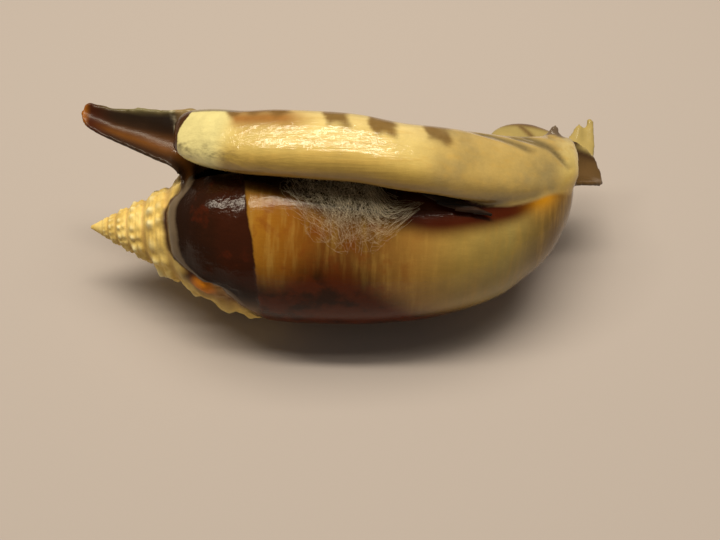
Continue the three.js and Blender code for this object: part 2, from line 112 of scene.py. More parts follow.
@dataclass(frozen=True)
class CoilForm:
    """The coiled body: the spire and the last whorl, as a radius about a slightly bent axis.

    The sizes repeat the driving dimensions of the solid. The sculpture is finer here.
    """

    half_width: Curve = (
        (0, 0.05), (2.7, 1.45), (5.8, 2.95), (8.8, 4.5), (11.5, 6.1), (14, 7.5), (17, 9.1), (20, 10.2),
        (24, 11.2), (28.8, 11.8), (33, 11.9), (37.2, 11.8), (41.3, 11.5), (44.1, 11.2), (48.7, 10.8),
        (53.2, 10.3), (58, 9.1), (61, 7.9), (63.4, 6.8), (65, 5.6), (66.4, 4), (67, 2.6), (67.5, 0.2),
    )
    length: float = 67.5
    bend: Curve = ((0, 0), (46, 0), (53, 1), (58, 2), (61, 3.2), (63.4, 4.2), (65, 5), (67.5, 7.5))
    bend_angle: float = -57.0
    dorsal_swell: float = 0.05
    dorsal_angle: float = 240.0
    growth: float = 1.42
    last_suture: float = 12.05
    suture_depth: float = 0.05
    shoulder_rise: float = 0.035
    nodules: int = 15
    nodule_rise: float = 0.15
    seam: float = -64.0
    knobs: int = 9
    knob_rise: float = 2.5
    knob_width: float = 2.6
    knob_angle: float = 215.0
    tubercle_rows: Curve = ((29.5, 0.8), (40.5, 0.6))
    side_knobs: tuple[tuple[float, float, float, float], ...] = (
        (17.4, 82, 1.0, 1.5), (20.3, 107, 0.9, 1.5), (15.2, 75, 0.4, 0.8), (23.2, 127, 0.9, 1.6),
        (17.2, 104, 0.5, 0.9), (19.4, 128, 0.6, 1.0),
    )
    callus_edge: Curve = (
        (-65, 18), (-30, 15), (-6, 13.8), (8, 12.5), (21, 12.3), (38, 12.7), (50, 12.9), (60, 13.4),
        (68, 14.5), (74, 17), (78, 19.6), (90, 21.4), (103, 23.4), (120, 25), (134, 32), (142, 40),
        (150, 66),
    )
    callus_rise: float = 0.35
    swellings: tuple[tuple[float, float, float, float], ...] = (
        (17.9, 14, 0.5, 2.5), (17.6, 42, 0.16, 1.5), (21.6, 62, 0.14, 1.6), (18.4, 66, 0.14, 1.3),
    )
    step_edge: Curve = ((-30, 21), (0, 23), (27, 24), (40, 24.6), (68, 25.1), (106, 25.2), (130, 26))
    step_rise: float = 0.16

    def wrapped(self, angle: np.ndarray) -> np.ndarray:
        """Bring angles into the one turn that starts at the seam."""
        return np.mod(angle - self.seam, FULL_TURN) + self.seam

    def whorls_past_suture(self, x: np.ndarray, angle: np.ndarray) -> np.ndarray:
        """How many whorls a place lies beyond the last suture, negative on the spire."""
        return np.log(np.maximum(x, 0.1) / self.last_suture) / math.log(self.growth) - angle / FULL_TURN

    def smooth_radius(self, x: np.ndarray, angle: np.ndarray) -> np.ndarray:
        """The radius without sculpture, in millimetres.

        Args:
            x: Places along the axis, in millimetres.
            angle: Angles round the axis, in degrees from the seam on.

        Returns:
            The smooth radius at each place.
        """
        round_part = np.maximum(along(self.half_width, x), 0.02)
        lean = np.maximum(0.0, np.cos(np.radians(self.wrapped(angle) - self.dorsal_angle)))
        return round_part * (1 + self.dorsal_swell * lean)

    def spire_relief(self, x: np.ndarray, angle: np.ndarray) -> np.ndarray:
        """Sutures, shoulders, nodules and fine threads of the spire, as a share of the radius.

        Args:
            x: Places along the axis, in millimetres.
            angle: Angles round the axis, in degrees from the seam on.

        Returns:
            The relief, to be multiplied by the radius.
        """
        whorls = self.whorls_past_suture(x, angle)
        place = np.mod(whorls, 1.0)
        fade = 1 - ease(whorls, 0.05, 0.75)
        edge = np.minimum(place, 1 - place)
        suture = np.where(whorls < 0.5, hill(edge, 0.09), 0.0)
        turns = np.floor(whorls) + (angle - self.seam) / FULL_TURN
        turned = 2 * math.pi * self.nodules * turns + 0.8 * np.sin(14.5 * turns) + 0.6 * np.sin(41 * turns)
        size = 0.8 + 0.28 * np.sin(23 * turns + 1.0)
        beads = size * (0.5 + 0.5 * np.cos(turned)) * hill(place - 0.36, 0.17)
        lower_beads = 0.6 * size * (0.5 + 0.5 * np.cos(turned + 1.2)) * hill(place - 0.74, 0.13)
        shoulder = self.shoulder_rise * hill(place - 0.42, 0.28)
        threads = 0.008 * np.cos(2 * math.pi * 6 * place)
        fine = ease(x, 0.8, 3.0)
        raised = shoulder + self.nodule_rise * (beads + lower_beads) + threads
        return fine * (fade * raised - self.suture_depth * suture)

    def knob_relief(self, x: np.ndarray, angle: np.ndarray) -> np.ndarray:
        """Shoulder knobs and lower tubercles of the last whorl, in millimetres.

        Args:
            x: Places along the axis, in millimetres.
            angle: Angles round the axis, in degrees from the seam on.

        Returns:
            The height above the smooth radius.
        """
        beyond = x - self.last_suture * self.growth ** (angle / FULL_TURN)
        spread = ease(angle, 104, 150) * (1 - ease(angle, 268, 296))
        size = 0.4 + 0.6 * hill(angle - self.knob_angle, 55)
        beat = 0.5 + 0.5 * np.cos(np.radians(self.knobs * (angle - self.knob_angle)))
        middle = 5.4 + 2.2 * ease(angle, 100, 250)
        row = hill(beyond - middle, self.knob_width)
        relief = self.knob_rise * size * beat**1.5 * row + 0.5 * row
        finer = 0.5 + 0.5 * np.cos(np.radians(2 * self.knobs * (angle - self.knob_angle)))
        for row_x, rise in self.tubercle_rows:
            relief = relief + rise * (0.6 * beat + 0.4 * finer) * size * hill(x - row_x, 2.2)
        relief = spread * relief
        for knob_x, turn, rise, width in self.side_knobs:
            relief = relief + rise * hill(self.from_spot(x, angle, knob_x, turn), width)
        return relief

    def from_spot(self, x: np.ndarray, angle: np.ndarray, spot_x: float, turn: float) -> np.ndarray:
        """The distance over the surface from a spot, in millimetres."""
        level = float(along(self.half_width, np.array(spot_x)))
        return np.hypot(x - spot_x, np.radians(angle - turn) * level)

    def uncovered(self, x: np.ndarray, angle: np.ndarray) -> np.ndarray:
        """1 where the rough outer shell is bare, 0 where the ventral glaze covers it.

        Args:
            x: Places along the axis, in millimetres.
            angle: Angles round the axis, in degrees from the seam on.

        Returns:
            A share from 0 to 1 at each place.
        """
        ragged = 0.08 * ripple((angle / 6.0, 0.3), (angle / 3.3, 1.7), (angle / 11.0, 4.0))
        beyond = x - along(self.callus_edge, angle) + ragged
        glazed = ease(beyond, -0.2, 1.1) * (1 - ease(angle, 140, 150))
        return 1 - glazed

    def past_step(self, x: np.ndarray, angle: np.ndarray) -> np.ndarray:
        """1 beyond the second edge of the glaze, where the golden layer lies on the dark one.

        Args:
            x: Places along the axis, in millimetres.
            angle: Angles round the axis, in degrees from the seam on.

        Returns:
            A share from 0 to 1 at each place.
        """
        ragged = 0.1 * ripple((angle / 2.1, 0.8), (angle / 5.0, 2.0))
        beyond = x - along(self.step_edge, angle) + ragged
        return ease(beyond, 0.0, 0.3) * (1 - ease(angle, 110, 132)) * (1 - ease(x, 27, 36))

    def cords(self, x: np.ndarray, angle: np.ndarray) -> np.ndarray:
        """Spiral cords and growth lines of the bare dorsal side, in millimetres.

        Args:
            x: Places along the axis, in millimetres.
            angle: Angles round the axis, in degrees from the seam on.

        Returns:
            The height above the smooth radius.
        """
        beyond = x - self.last_suture * self.growth ** (angle / FULL_TURN)
        bare = self.uncovered(x, angle) * ease(x, 15, 20) * (1 - ease(x, 62, 67))
        wander = 0.25 * ripple((angle / 14.0, 0.0), (angle / 31.0, 1.0))
        cord = 0.09 * np.cos(2 * math.pi * (beyond + wander) / 1.55)
        growth_line = 0.05 * ripple((angle / 1.3, 0.0), (angle / 0.7, 2.0), (angle / 2.9 + x * 0.2, 1.0))
        return bare * (cord + growth_line)

    def radius(self, x: np.ndarray, raw_angle: np.ndarray) -> np.ndarray:
        """The finished radius with all its relief, in millimetres.

        Args:
            x: Places along the axis, in millimetres.
            raw_angle: Angles round the axis, in degrees.

        Returns:
            The radius at each place.
        """
        angle = self.wrapped(raw_angle)
        bare = self.uncovered(x, angle)
        base = self.smooth_radius(x, angle) * (1 + self.spire_relief(x, angle) * (0.1 + 0.9 * bare))
        glaze = (1 - bare) * self.callus_rise * ease(self.length - x, 0, 6)
        step = self.step_rise * self.past_step(x, angle)
        swell = 0.10 * ripple((x / 3.1, 0.4), (x / 5.3 + angle / 30, 2.2)) * (1 - bare)
        for spot_x, turn, rise, width in self.swellings:
            swell = swell + rise * hill(self.from_spot(x, angle, spot_x, turn), width)
        relief = self.knob_relief(x, angle) * ease(x, 12, 15) + self.cords(x, angle)
        return base + relief + glaze + step + swell * ease(self.length - x, 0, 8)

    def place(self, x: np.ndarray, angle: np.ndarray, radius: np.ndarray) -> np.ndarray:
        """Points in space, from places along the axis, angles round it and radii.

        Args:
            x: Places along the axis, in millimetres.
            angle: Angles round the axis, in degrees.
            radius: Distances from the axis, in millimetres.

        Returns:
            The points, one per row.
        """
        bend = along(self.bend, x)
        turn = np.radians(angle)
        tilt = math.radians(self.bend_angle)
        y = -np.sin(turn) * radius - math.sin(tilt) * bend
        z = np.cos(turn) * radius + math.cos(tilt) * bend
        return np.stack(np.broadcast_arrays(np.asarray(x, float), y, z), axis=-1)

    def polar(self, points: np.ndarray) -> tuple[np.ndarray, np.ndarray, np.ndarray]:
        """The inverse of place.

        Args:
            points: Places in space, one per row.

        Returns:
            Place along the axis, angle from the seam on, and radius.
        """
        x = points[:, 0]
        bend = along(self.bend, x)
        tilt = math.radians(self.bend_angle)
        y = points[:, 1] + math.sin(tilt) * bend
        z = points[:, 2] - math.cos(tilt) * bend
        angle = self.wrapped(np.degrees(np.arctan2(-y, z)))
        return x, angle, np.hypot(y, z)


COIL = CoilForm()


def rounded_loop(corners: np.ndarray, count: int) -> np.ndarray:
    """Round a closed outline.

    Args:
        corners: The outline's corners, one per row.
        count: How many evenly spaced points to give back.

    Returns:
        Points on the rounded outline, the first corner first.
    """
    n = len(corners)
    step = np.sqrt(np.linalg.norm(np.roll(corners, -1, 0) - corners, axis=1))
    step = np.maximum(step, 1e-4)[:, None]
    to_next = (np.roll(corners, -1, 0) - corners) / step
    from_last = np.roll(to_next, 1, 0)
    last = np.roll(step, 1, 0)
    slope = (from_last * step + to_next * last) / (step + last)
    t = np.linspace(0, 1, 16, endpoint=False)[None, :, None]
    start, end = corners[:, None], np.roll(corners, -1, 0)[:, None]
    m0, m1 = (slope * step)[:, None], (np.roll(slope, -1, 0) * step)[:, None]
    dense = ((2 * t**3 - 3 * t**2 + 1) * start + (t**3 - 2 * t**2 + t) * m0
             + (3 * t**2 - 2 * t**3) * end + (t**3 - t**2) * m1).reshape(n * 16, -1)
    return evenly(np.vstack([dense, dense[:1]]), count + 1)[:-1]


def evenly(line: np.ndarray, count: int) -> np.ndarray:
    """Points at even distances along a line.

    Args:
        line: The points of the line, one per row.
        count: How many points to give back.

    Returns:
        The new points, both ends among them.
    """
    lengths = np.concatenate([[0.0], np.cumsum(np.linalg.norm(np.diff(line, axis=0), axis=1))])
    at = np.linspace(0, lengths[-1], count)
    return np.stack([np.interp(at, lengths, line[:, k]) for k in range(line.shape[1])], axis=1)


def arc_through(points: Sequence[Sequence[float]], count: int) -> np.ndarray:
    """A smooth open curve through points in space, as evenly spaced points.

    Args:
        points: The points that the curve meets, in order.
        count: How many points to give back.

    Returns:
        The points of the curve, one per row.
    """
    corners = np.array(points, float)
    chord = np.concatenate([[0.0], np.cumsum(np.linalg.norm(np.diff(corners, axis=0), axis=1))])
    at = np.linspace(0, chord[-1], 12 * count)
    axes = [along(list(zip(chord, corners[:, k])), at) for k in range(corners.shape[1])]
    return evenly(np.stack(axes, axis=1), count)


def only(obj: bpy.types.Object) -> None:
    """Select one object alone and make it active.

    Args:
        obj: The object to select.
    """
    bpy.ops.object.select_all(action="DESELECT")
    obj.select_set(True)
    bpy.context.view_layer.objects.active = obj


def read_points(obj: bpy.types.Object) -> np.ndarray:
    """The object's vertices, one per row.

    Args:
        obj: The object to read.

    Returns:
        The places in its own units.
    """
    points = np.empty(len(obj.data.vertices) * 3)
    obj.data.vertices.foreach_get("co", points)
    return points.reshape(-1, 3)


def write_points(obj: bpy.types.Object, points: np.ndarray) -> None:
    """Move the object's vertices to new places."""
    obj.data.vertices.foreach_set("co", np.ascontiguousarray(points, dtype=np.float32).ravel())
    obj.data.update()


def finish_with(obj: bpy.types.Object, kind: str, **settings: object) -> None:
    """Add a modifier with its settings and apply it.

    Args:
        obj: The object to work on.
        kind: The modifier's type.
        settings: The modifier's own settings.
    """
    only(obj)
    modifier = obj.modifiers.new(kind.title(), kind)
    for name, value in settings.items():
        setattr(modifier, name, value)
    bpy.ops.object.modifier_apply(modifier=modifier.name)


def in_edit_mode(obj: bpy.types.Object, *steps: Callable[[], object]) -> None:
    """Run operators on all of an object's geometry in edit mode.

    Args:
        obj: The object to work on.
        steps: The operators to call, in order.
    """
    only(obj)
    bpy.ops.object.mode_set(mode="EDIT")
    bpy.ops.mesh.select_all(action="SELECT")
    for step in steps:
        step()
    bpy.ops.object.mode_set(mode="OBJECT")


def close_seams(obj: bpy.types.Object) -> None:
    """Merge what meets and turn every face outwards.

    Args:
        obj: The object to work on.
    """
    in_edit_mode(
        obj,
        lambda: bpy.ops.mesh.remove_doubles(threshold=0.002),
        lambda: bpy.ops.mesh.dissolve_degenerate(threshold=0.001),
        lambda: bpy.ops.mesh.normals_make_consistent(inside=False),
    )


def added(name: str, operator: Callable[..., object], **settings: object) -> bpy.types.Object:
    """Add a primitive with nothing else selected, and name it.

    Args:
        name: The new object's name.
        operator: The operator that adds the primitive.
        settings: The operator's own settings.

    Returns:
        The new object.
    """
    bpy.ops.object.select_all(action="DESELECT")
    operator(**settings)
    bpy.context.object.name = name
    return bpy.context.object


def skin(name: str, sections: np.ndarray, crown: float = 0.15) -> bpy.types.Object:
    """Wrap a grid round closed sections and close both ends.

    Args:
        name: The new object's name.
        sections: Points as section, point round it, and coordinate.
        crown: How far the ends stand proud, in millimetres.

    Returns:
        The closed skin.
    """
    middles = sections.mean(axis=1)
    ends = []
    for end, neighbour in ((0, 1), (-1, -2)):
        onward = middles[end] - middles[neighbour]
        tip = middles[end] + crown * onward / np.linalg.norm(onward)
        ends.append(np.broadcast_to(tip, sections[0].shape)[None])
    rows = np.concatenate([ends[0], sections, ends[1]])
    count_u, count_v = len(rows) - 1, rows.shape[1]
    obj = added(name, bpy.ops.mesh.primitive_grid_add, x_subdivisions=count_u, y_subdivisions=count_v,
                size=1)
    flat = read_points(obj)
    u = np.rint((flat[:, 0] + 0.5) * count_u).astype(int)
    v = np.rint((flat[:, 1] + 0.5) * count_v).astype(int) % count_v
    write_points(obj, rows[u, v])
    close_seams(obj)
    return obj


def settle(obj: bpy.types.Object) -> None:
    """Bring a piece from the apex's millimetres into the frame's metres, its place in its mesh."""
    obj.data.transform(Matrix.Scale(MM, 4) @ Matrix.Translation(Vector(APEX)))
    obj.data.update()


def dress(obj: bpy.types.Object, material: bpy.types.Material) -> None:
    """Give a piece its one material and settle it.

    Args:
        obj: The piece.
        material: Its material.
    """
    obj.data.materials.clear()
    obj.data.materials.append(material)
    settle(obj)


def attribute(obj: bpy.types.Object, name: str, values: np.ndarray) -> None:
    """Store one number for each vertex."""
    layer = obj.data.attributes.new(name, "FLOAT", "POINT")
    layer.data.foreach_set("value", np.ascontiguousarray(values, dtype=np.float32))


@dataclass
class Body:
    """The coiled body's mesh: a sphere drawn out along the axis and given the coil's radius."""

    segments: int = 220
    rings: int = 260

    def build(self) -> bpy.types.Object:
        """Make the body.

        Returns:
            The closed body, without its limbs.
        """
        body = added("coiled_body", bpy.ops.mesh.primitive_uv_sphere_add, segments=self.segments,
                     ring_count=self.rings, radius=1.0)
        ball = read_points(body)
        down = np.degrees(np.arccos(np.clip(ball[:, 2], -1, 1))) / 180.0
        angle = COIL.wrapped(np.degrees(np.arctan2(ball[:, 1], ball[:, 0])))
        x = COIL.length * (0.35 * down**2 + 0.65 * (1 - (1 - down) ** 1.25))
        at_pole = (down < 1e-4) | (down > 1 - 1e-4)
        radius = np.where(at_pole, 0.0, COIL.radius(x, angle))
        write_points(body, COIL.place(x, angle, radius))
        close_seams(body)
        return body


@dataclass
class Limb:
    """A form drawn along the coiling axis through stations.

    A station holds x, the y and z where a line over its face starts and ends, and two sizes more.
    """

    stations: tuple[tuple[float, ...], ...] = ()

    def measures(self, x: np.ndarray) -> list[np.ndarray]:
        """The six values of a station, read at any x."""
        return [along([(row[0], row[k]) for row in self.stations], x) for k in range(1, 7)]

    def own_places(self, points: np.ndarray) -> tuple[np.ndarray, np.ndarray]:
        """Where points lie on the form's face.

        Args:
            points: Places in space, one per row.

        Returns:
            The share of the way along the face's line, and the height off that line.
        """
        start_y, start_z, end_y, end_z, _, _ = self.measures(points[:, 0])
        span = np.hypot(end_y - start_y, end_z - start_z)
        ahead = np.stack([(end_y - start_y) / span, (end_z - start_z) / span], axis=1)
        offset = points[:, 1:] - np.stack([start_y, start_z], axis=1)
        share = (offset * ahead).sum(axis=1) / span
        rise = offset[:, 1] * ahead[:, 0] - offset[:, 0] * ahead[:, 1]
        return share, rise


@dataclass
class OuterLip(Limb):
    """The outer lip: a plate that leaves the body on the dorsal side and ends in a thick rolled rim.

    A station holds x, the inner edge's y and z, the top edge's y and z, the roll's bulge and its depth.
    """

    stations: tuple[tuple[float, ...], ...] = (
        (13.6, 3.9, 13.1, 7.6, 13.8, 0.7, 0.7),
        (14.4, 3.0, 12.9, 8.3, 14.3, 1.3, 1.4),
        (16.0, 1.9, 12.9, 8.5, 14.9, 1.8, 2.0),
        (19.0, 0.3, 13.7, 7.9, 15.9, 2.2, 2.4),
        (23.0, -1.2, 14.8, 6.9, 16.8, 2.4, 2.6),
        (27.5, -2.2, 15.7, 6.3, 17.8, 2.5, 2.7),
        (33.0, -2.9, 16.2, 5.8, 18.3, 2.6, 2.8),
        (38.0, -3.1, 16.1, 5.5, 18.2, 2.6, 2.8),
        (43.0, -3.5, 15.4, 5.1, 17.5, 2.6, 2.6),
        (47.5, -3.3, 14.3, 5.4, 16.6, 2.6, 2.0),
        (52.0, -2.7, 12.5, 6.1, 15.1, 2.5, 1.7),
        (56.0, -1.7, 10.7, 7.0, 13.5, 2.5, 1.5),
        (59.5, -0.6, 9.1, 8.0, 12.2, 2.4, 1.4),
        (62.5, 0.8, 7.9, 9.3, 11.0, 2.2, 1.4),
        (65.3, 2.5, 7.1, 10.5, 9.8, 1.7, 1.2),
        (66.8, 4.1, 7.0, 10.5, 9.1, 1.1, 0.9),
        (67.5, 5.6, 7.3, 9.3, 8.3, 0.5, 0.4),
    )
    creases: tuple[Curve, ...] = (
        ((52, 1.0), (55, 0.94), (58, 0.84), (60.5, 0.72)),
        ((58.5, 1.06), (60.5, 0.95), (62.8, 0.78), (64.3, 0.62), (65.8, 0.42)),
        ((57, 1.02), (59.5, 0.93), (61.8, 0.83), (63.6, 0.76)),
    )
    crease_depth: float = 0.4
    root_angle: float = -68.0
    plate: float = 2.6
    arch: float = 1.6
    sections: int = 150
    points: int = 84

    def section(self, x: float) -> np.ndarray:
        """One closed section: up the plate's outside, over the rim and back down its inside.

        Args:
            x: Where the section lies along the axis.

        Returns:
            The points of the section, one per row.
        """
        in_y, in_z, top_y, top_z, bulge, depth = (float(value) for value in self.measures(np.array(x)))
        inner = np.array([in_y, in_z])
        reach = np.array([top_y - in_y, top_z - in_z])
        normal = np.array([-reach[1], reach[0]]) / math.hypot(*reach)

        def across(share: float, rise: float) -> np.ndarray:
            """A corner at a share of the way from the inner edge to the top, raised off that line."""
            return inner + reach * share + normal * rise

        radius = float(COIL.radius(np.array([x]), np.array([self.root_angle]))[0])

        def on_body(turn: float, rise: float) -> np.ndarray:
            """A corner at an angle and height off the body's surface."""
            return COIL.place(np.array([x]), np.array([turn]), np.array([radius + rise]))[0, 1:]

        root_out = on_body(self.root_angle - 7, 1.1)
        arch = (root_out + inner + reach) / 2 + self.arch * np.array([1, -0.2])
        plate = min(self.plate, depth + 0.6)
        corners = np.array([
            on_body(self.root_angle, -1.4), on_body(self.root_angle - 13, -0.7), root_out, arch,
            across(1.04, 0), across(0.86, 0.85 * bulge), across(0.5, bulge), across(0.16, 0.8 * bulge),
            across(0, 0), across(0.14, -0.8 * depth), across(0.5, -depth), across(0.82, -1.25 * depth),
            arch - plate * np.array([1, 0.35]), on_body(self.root_angle + 8, -0.9),
        ])
        loop = rounded_loop(corners, self.points)
        return np.column_stack([np.full(len(loop), x), loop])

    def build(self) -> bpy.types.Object:
        """Make the lip.

        Returns:
            The closed lip.
        """
        first, last = self.stations[0][0], self.stations[-1][0]
        places = evenly(np.array([[row[0]] for row in self.stations]), self.sections)[:, 0]
        ends = first + (last - first) * ease(np.linspace(0, 1, self.sections), 0.0, 1.0)
        places = 0.6 * places + 0.4 * ends
        return skin("outer_lip", np.array([self.section(float(x)) for x in places]))

    def crease(self, x: np.ndarray, across: np.ndarray) -> np.ndarray:
        """1 in the creases of the roll's front end, 0 elsewhere.

        Args:
            x: Places along the axis, in millimetres.
            across: Shares of the way over the roll.

        Returns:
            A share from 0 to 1 at each place.
        """
        lines = (hill(across - along(line, x), 0.06) * ease(x, line[0][0] - 1.5, line[0][0] + 2)
                 * (1 - ease(x, line[-1][0] - 1.5, line[-1][0] + 1.5)) for line in self.creases)
        return np.maximum.reduce(list(lines))


def sheet(hollow: np.ndarray, outward: np.ndarray, wall: float) -> np.ndarray:
    """Close a loop round a curved sheet, along its hollow face and back along its outer face.

    Args:
        hollow: The points along the hollow face.
        outward: The way from the hollow face to the outer one.
        wall: The greatest thickness, in millimetres.

    Returns:
        The points of the loop, one per row.
    """
    count = len(hollow)
    swell = 0.5 + 0.5 * np.sin(math.pi * (np.arange(count) + 0.5) / count) ** 0.6
    outer = hollow + outward * (wall * swell)[:, None]
    return np.vstack([hollow, outer[::-1]])


@dataclass
class Finger(Limb):
    """The posterior finger: a tapering trough, open towards the ventral side.

    A station holds x, the low edge's y and z, the rim's y and z, the trough's sag and the wall.
    """

    stations: tuple[tuple[float, ...], ...] = (
        (0.0, 9.3, 12.8, 10.7, 13.2, 0.3, 0.9),
        (0.5, 8.4, 12.4, 11.2, 13.3, 0.6, 1.1),
        (2.0, 7.4, 12.2, 11.2, 13.3, 1.0, 1.3),
        (4.5, 6.3, 11.8, 10.9, 13.2, 1.4, 1.5),
        (7.5, 5.2, 11.2, 10.5, 13.4, 1.8, 1.7),
        (10.5, 4.1, 10.4, 10.2, 13.7, 2.1, 1.8),
        (13.2, 3.0, 9.8, 10.1, 13.9, 2.4, 1.9),
        (14.3, 1.2, 8.5, 10.0, 14.0, 2.6, 1.9),
        (15.3, -1.6, 6.6, 10.0, 14.0, 2.8, 1.9),
        (18.0, -0.6, 8.4, 10.0, 13.0, 2.8, 1.9),
        (23.0, 3.0, 8.2, 10.2, 11.0, 1.6, 1.6),
    )
    sections: int = 90
    points: int = 26

    def section(self, x: float) -> np.ndarray:
        """One closed section, sagging between the low edge and the rim.

        Args:
            x: Where the section lies along the axis.

        Returns:
            The points of the section, one per row.
        """
        low_y, low_z, rim_y, rim_z, sag, wall = (float(value) for value in self.measures(np.array(x)))
        wave = 0.2 * math.sin(0.9 * x + 0.4) + 0.06 * math.sin(2.6 * x)
        reach = np.array([0.0, rim_y + wave - low_y, rim_z - low_z])
        outward = np.array([0.0, reach[2], -reach[1]]) / np.linalg.norm(reach)
        low = np.array([x, low_y, low_z])
        corners = [low + reach * share + outward * sag * deep
                   for share, deep in ((0, 0), (0.25, 0.8), (0.6, 1.0), (1, 0))]
        return sheet(arc_through(corners, self.points), outward, wall)

    def build(self) -> bpy.types.Object:
        """Make the finger.

        Returns:
            The closed finger.
        """
        first, last = self.stations[0][0], self.stations[-1][0]
        places = first + (last - first) * np.linspace(0, 1, self.sections) ** 1.15
        return skin("finger", np.array([self.section(float(x)) for x in places]))


Swelling = tuple[tuple[float, float, float], tuple[float, float, float], float]


@dataclass
class Canal:
    """The siphonal canal with its two points, the throat that carries it and the fold beside the notch.

    A station holds the near edge, the middle and the far edge of the gutter, and its wall.
    """

    stations: tuple[tuple[float, ...], ...] = (
        (60, 5.5, 3.0, 60, 9.5, 0.8, 60, 12.6, 6.0, 1.6),
        (64.2, 6.2, 4.6, 65, 10.6, 2.4, 63.6, 14.8, 6.8, 1.4),
        (67.6, 7.0, 4.7, 68.4, 11.0, 2.2, 67.4, 15.1, 5.3, 1.3),
        (70.2, 8.0, 3.5, 70.9, 11.4, 1.7, 70.2, 14.9, 3.6, 1.2),
        (71.8, 8.8, 2.5, 72.1, 11.2, 1.4, 71.6, 14.2, 2.4, 1.0),
        (72.5, 9.8, 1.9, 72.6, 11.0, 1.4, 72.5, 12.6, 1.7, 0.8),
    )
    prongs: tuple[tuple[tuple[float, ...], ...], ...] = (
        ((67.4, 12.6, 1.9), (68.8, 16.4, 1.5), (70.0, 19.9, 2.5), (5.4, 0.8)),
        ((70.6, 12.4, 1.5), (71.3, 17.0, 1.3), (71.6, 21.2, 2.4), (2.2, 1.5)),
    )
    prong_thickness: float = 0.9
    prong_tip_thickness: float = 0.8
    throat: Swelling = ((61.5, 8.6, 2.6), (6.0, 5.2, 3.6), -0.5)
    fold: Swelling = ((61.3, 11.3, 6.5), (6.0, 4.1, 1.75), 0.1)
    slope: float = 0.2
    peak_form: Swelling = ((64.0, 10.1, 9.4), (2.6, 1.4, 2.5), -0.5)
    sections: int = 60
    points: int = 24

    def gutter(self) -> bpy.types.Object:
        """Make the gutter.

        Returns:
            The closed gutter.
        """
        number = list(range(len(self.stations)))
        places = np.linspace(0, number[-1], self.sections)
        columns = [along(list(zip(number, column)), places) for column in zip(*self.stations)]
        sections = []
        for row in np.array(columns).T:
            near, middle, far = row[0:3], row[3:6], row[6:9]
            outward = middle - (near + far) / 2
            outward = outward / np.linalg.norm(outward)
            sections.append(sheet(arc_through([near, middle, far], self.points), outward, float(row[9])))
        return skin("canal", np.array(sections))

    def prong(self, number: int) -> bpy.types.Object:
        """Make one of the two thin points behind the canal.

        Args:
            number: Which of the two to make, from 0.

        Returns:
            The closed point.
        """
        base, middle, tip, (width, tip_width) = self.prongs[number]
        line = arc_through([base, middle, tip], 24)
        heading = np.gradient(line, axis=0)
        side = np.cross(heading, (0.0, 0.0, 1.0))
        side = side / np.linalg.norm(side, axis=1)[:, None]
        turn = np.linspace(0, 2 * math.pi, 20, endpoint=False)
        sections = []
        for i, centre in enumerate(line):
            share = i / (len(line) - 1)
            half = (width + (tip_width - width) * share) / 2
            thick = (self.prong_thickness + (self.prong_tip_thickness - self.prong_thickness) * share) / 2
            ring = centre + np.outer(np.cos(turn) * half, side[i])
            sections.append(ring + np.outer(np.sin(turn) * thick, (0.0, 0.0, 1.0)))
        return skin(f"prong_{number + 1}", np.array(sections))

    def swelling(self, name: str, form: Swelling) -> bpy.types.Object:
        """Make a rounded swelling at its place.

        Args:
            name: The new object's name.
            form: Its centre, its three half widths and its turn about X.

        Returns:
            The swelling.
        """
        centre, reach, turn = form
        ball = added(name, bpy.ops.mesh.primitive_uv_sphere_add, segments=64, ring_count=40, radius=1.0)
        place = Matrix.Translation(Vector(centre)) @ Matrix.Rotation(turn, 4, "X")
        ball.data.transform(place @ Matrix.Rotation(self.slope, 4, "Y") @ Matrix.Diagonal((*reach, 1)))
        return ball

    def peak(self) -> bpy.types.Object:
        """Make the small pinched peak where the fold meets the roll.

        Returns:
            The peak.
        """
        centre, reach, turn = self.peak_form
        cone = added("peak", bpy.ops.mesh.primitive_cone_add, vertices=32, radius1=1.0, radius2=0.2,
                     depth=2.0)
        place = Matrix.Translation(Vector(centre)) @ Matrix.Rotation(turn, 4, "X")
        cone.data.transform(place @ Matrix.Diagonal((*reach, 1)))
        in_edit_mode(cone, lambda: bpy.ops.mesh.subdivide(number_cuts=6))
        return cone

    def build(self) -> dict[str, bpy.types.Object]:
        """Make every part of the shell's front end.

        Returns:
            The parts by name.
        """
        parts = {"canal": self.gutter(), "throat": self.swelling("throat", self.throat)}
        parts["fold"] = self.swelling("fold", self.fold)
        parts["peak"] = self.peak()
        for number in range(len(self.prongs)):
            parts[f"prong_{number + 1}"] = self.prong(number)
        return parts


@dataclass
class Aperture:
    """The space inside the slit under the lip, which goes round inside the last whorl."""

    start: float = 15.5
    end: float = 63.0
    outline: Curve = (
        (-8, 0.9), (-16, -1.6), (-34, -4.2), (-58, -5.2), (-84, -5.4), (-108, -4.6), (-124, -3.1),
        (-112, -1.9), (-92, -1.6), (-70, -1.6), (-60, -0.7), (-55, 1.0), (-32, 1.4),
    )
    full_radius: float = 12.3
    sections: int = 90
    points: int = 72

    def build(self) -> bpy.types.Object:
        """Make the space as a closed form.

        Returns:
            The closed space.
        """
        rings = []
        for share in np.linspace(0, 1, self.sections):
            x = self.start + (self.end - self.start) * share
            reach = 0.25 + 0.75 * (1 - abs(2 * share - 1) ** 3)
            level = float(along(COIL.half_width, np.array(x)))
            turns = np.array([-30 + (angle + 30) * (0.45 + 0.55 * reach) for angle, _ in self.outline])
            depth = level / self.full_radius * reach
            rises = [rise if rise > 0 else rise * depth - 0.4 * (1 - reach) for _, rise in self.outline]
            corners = COIL.place(np.full(len(turns), x), turns, level + np.array(rises))
            loop = rounded_loop(corners[:, 1:], self.points)
            rings.append(np.column_stack([np.full(len(loop), x), loop]))
        return skin("aperture_space", np.array(rings))


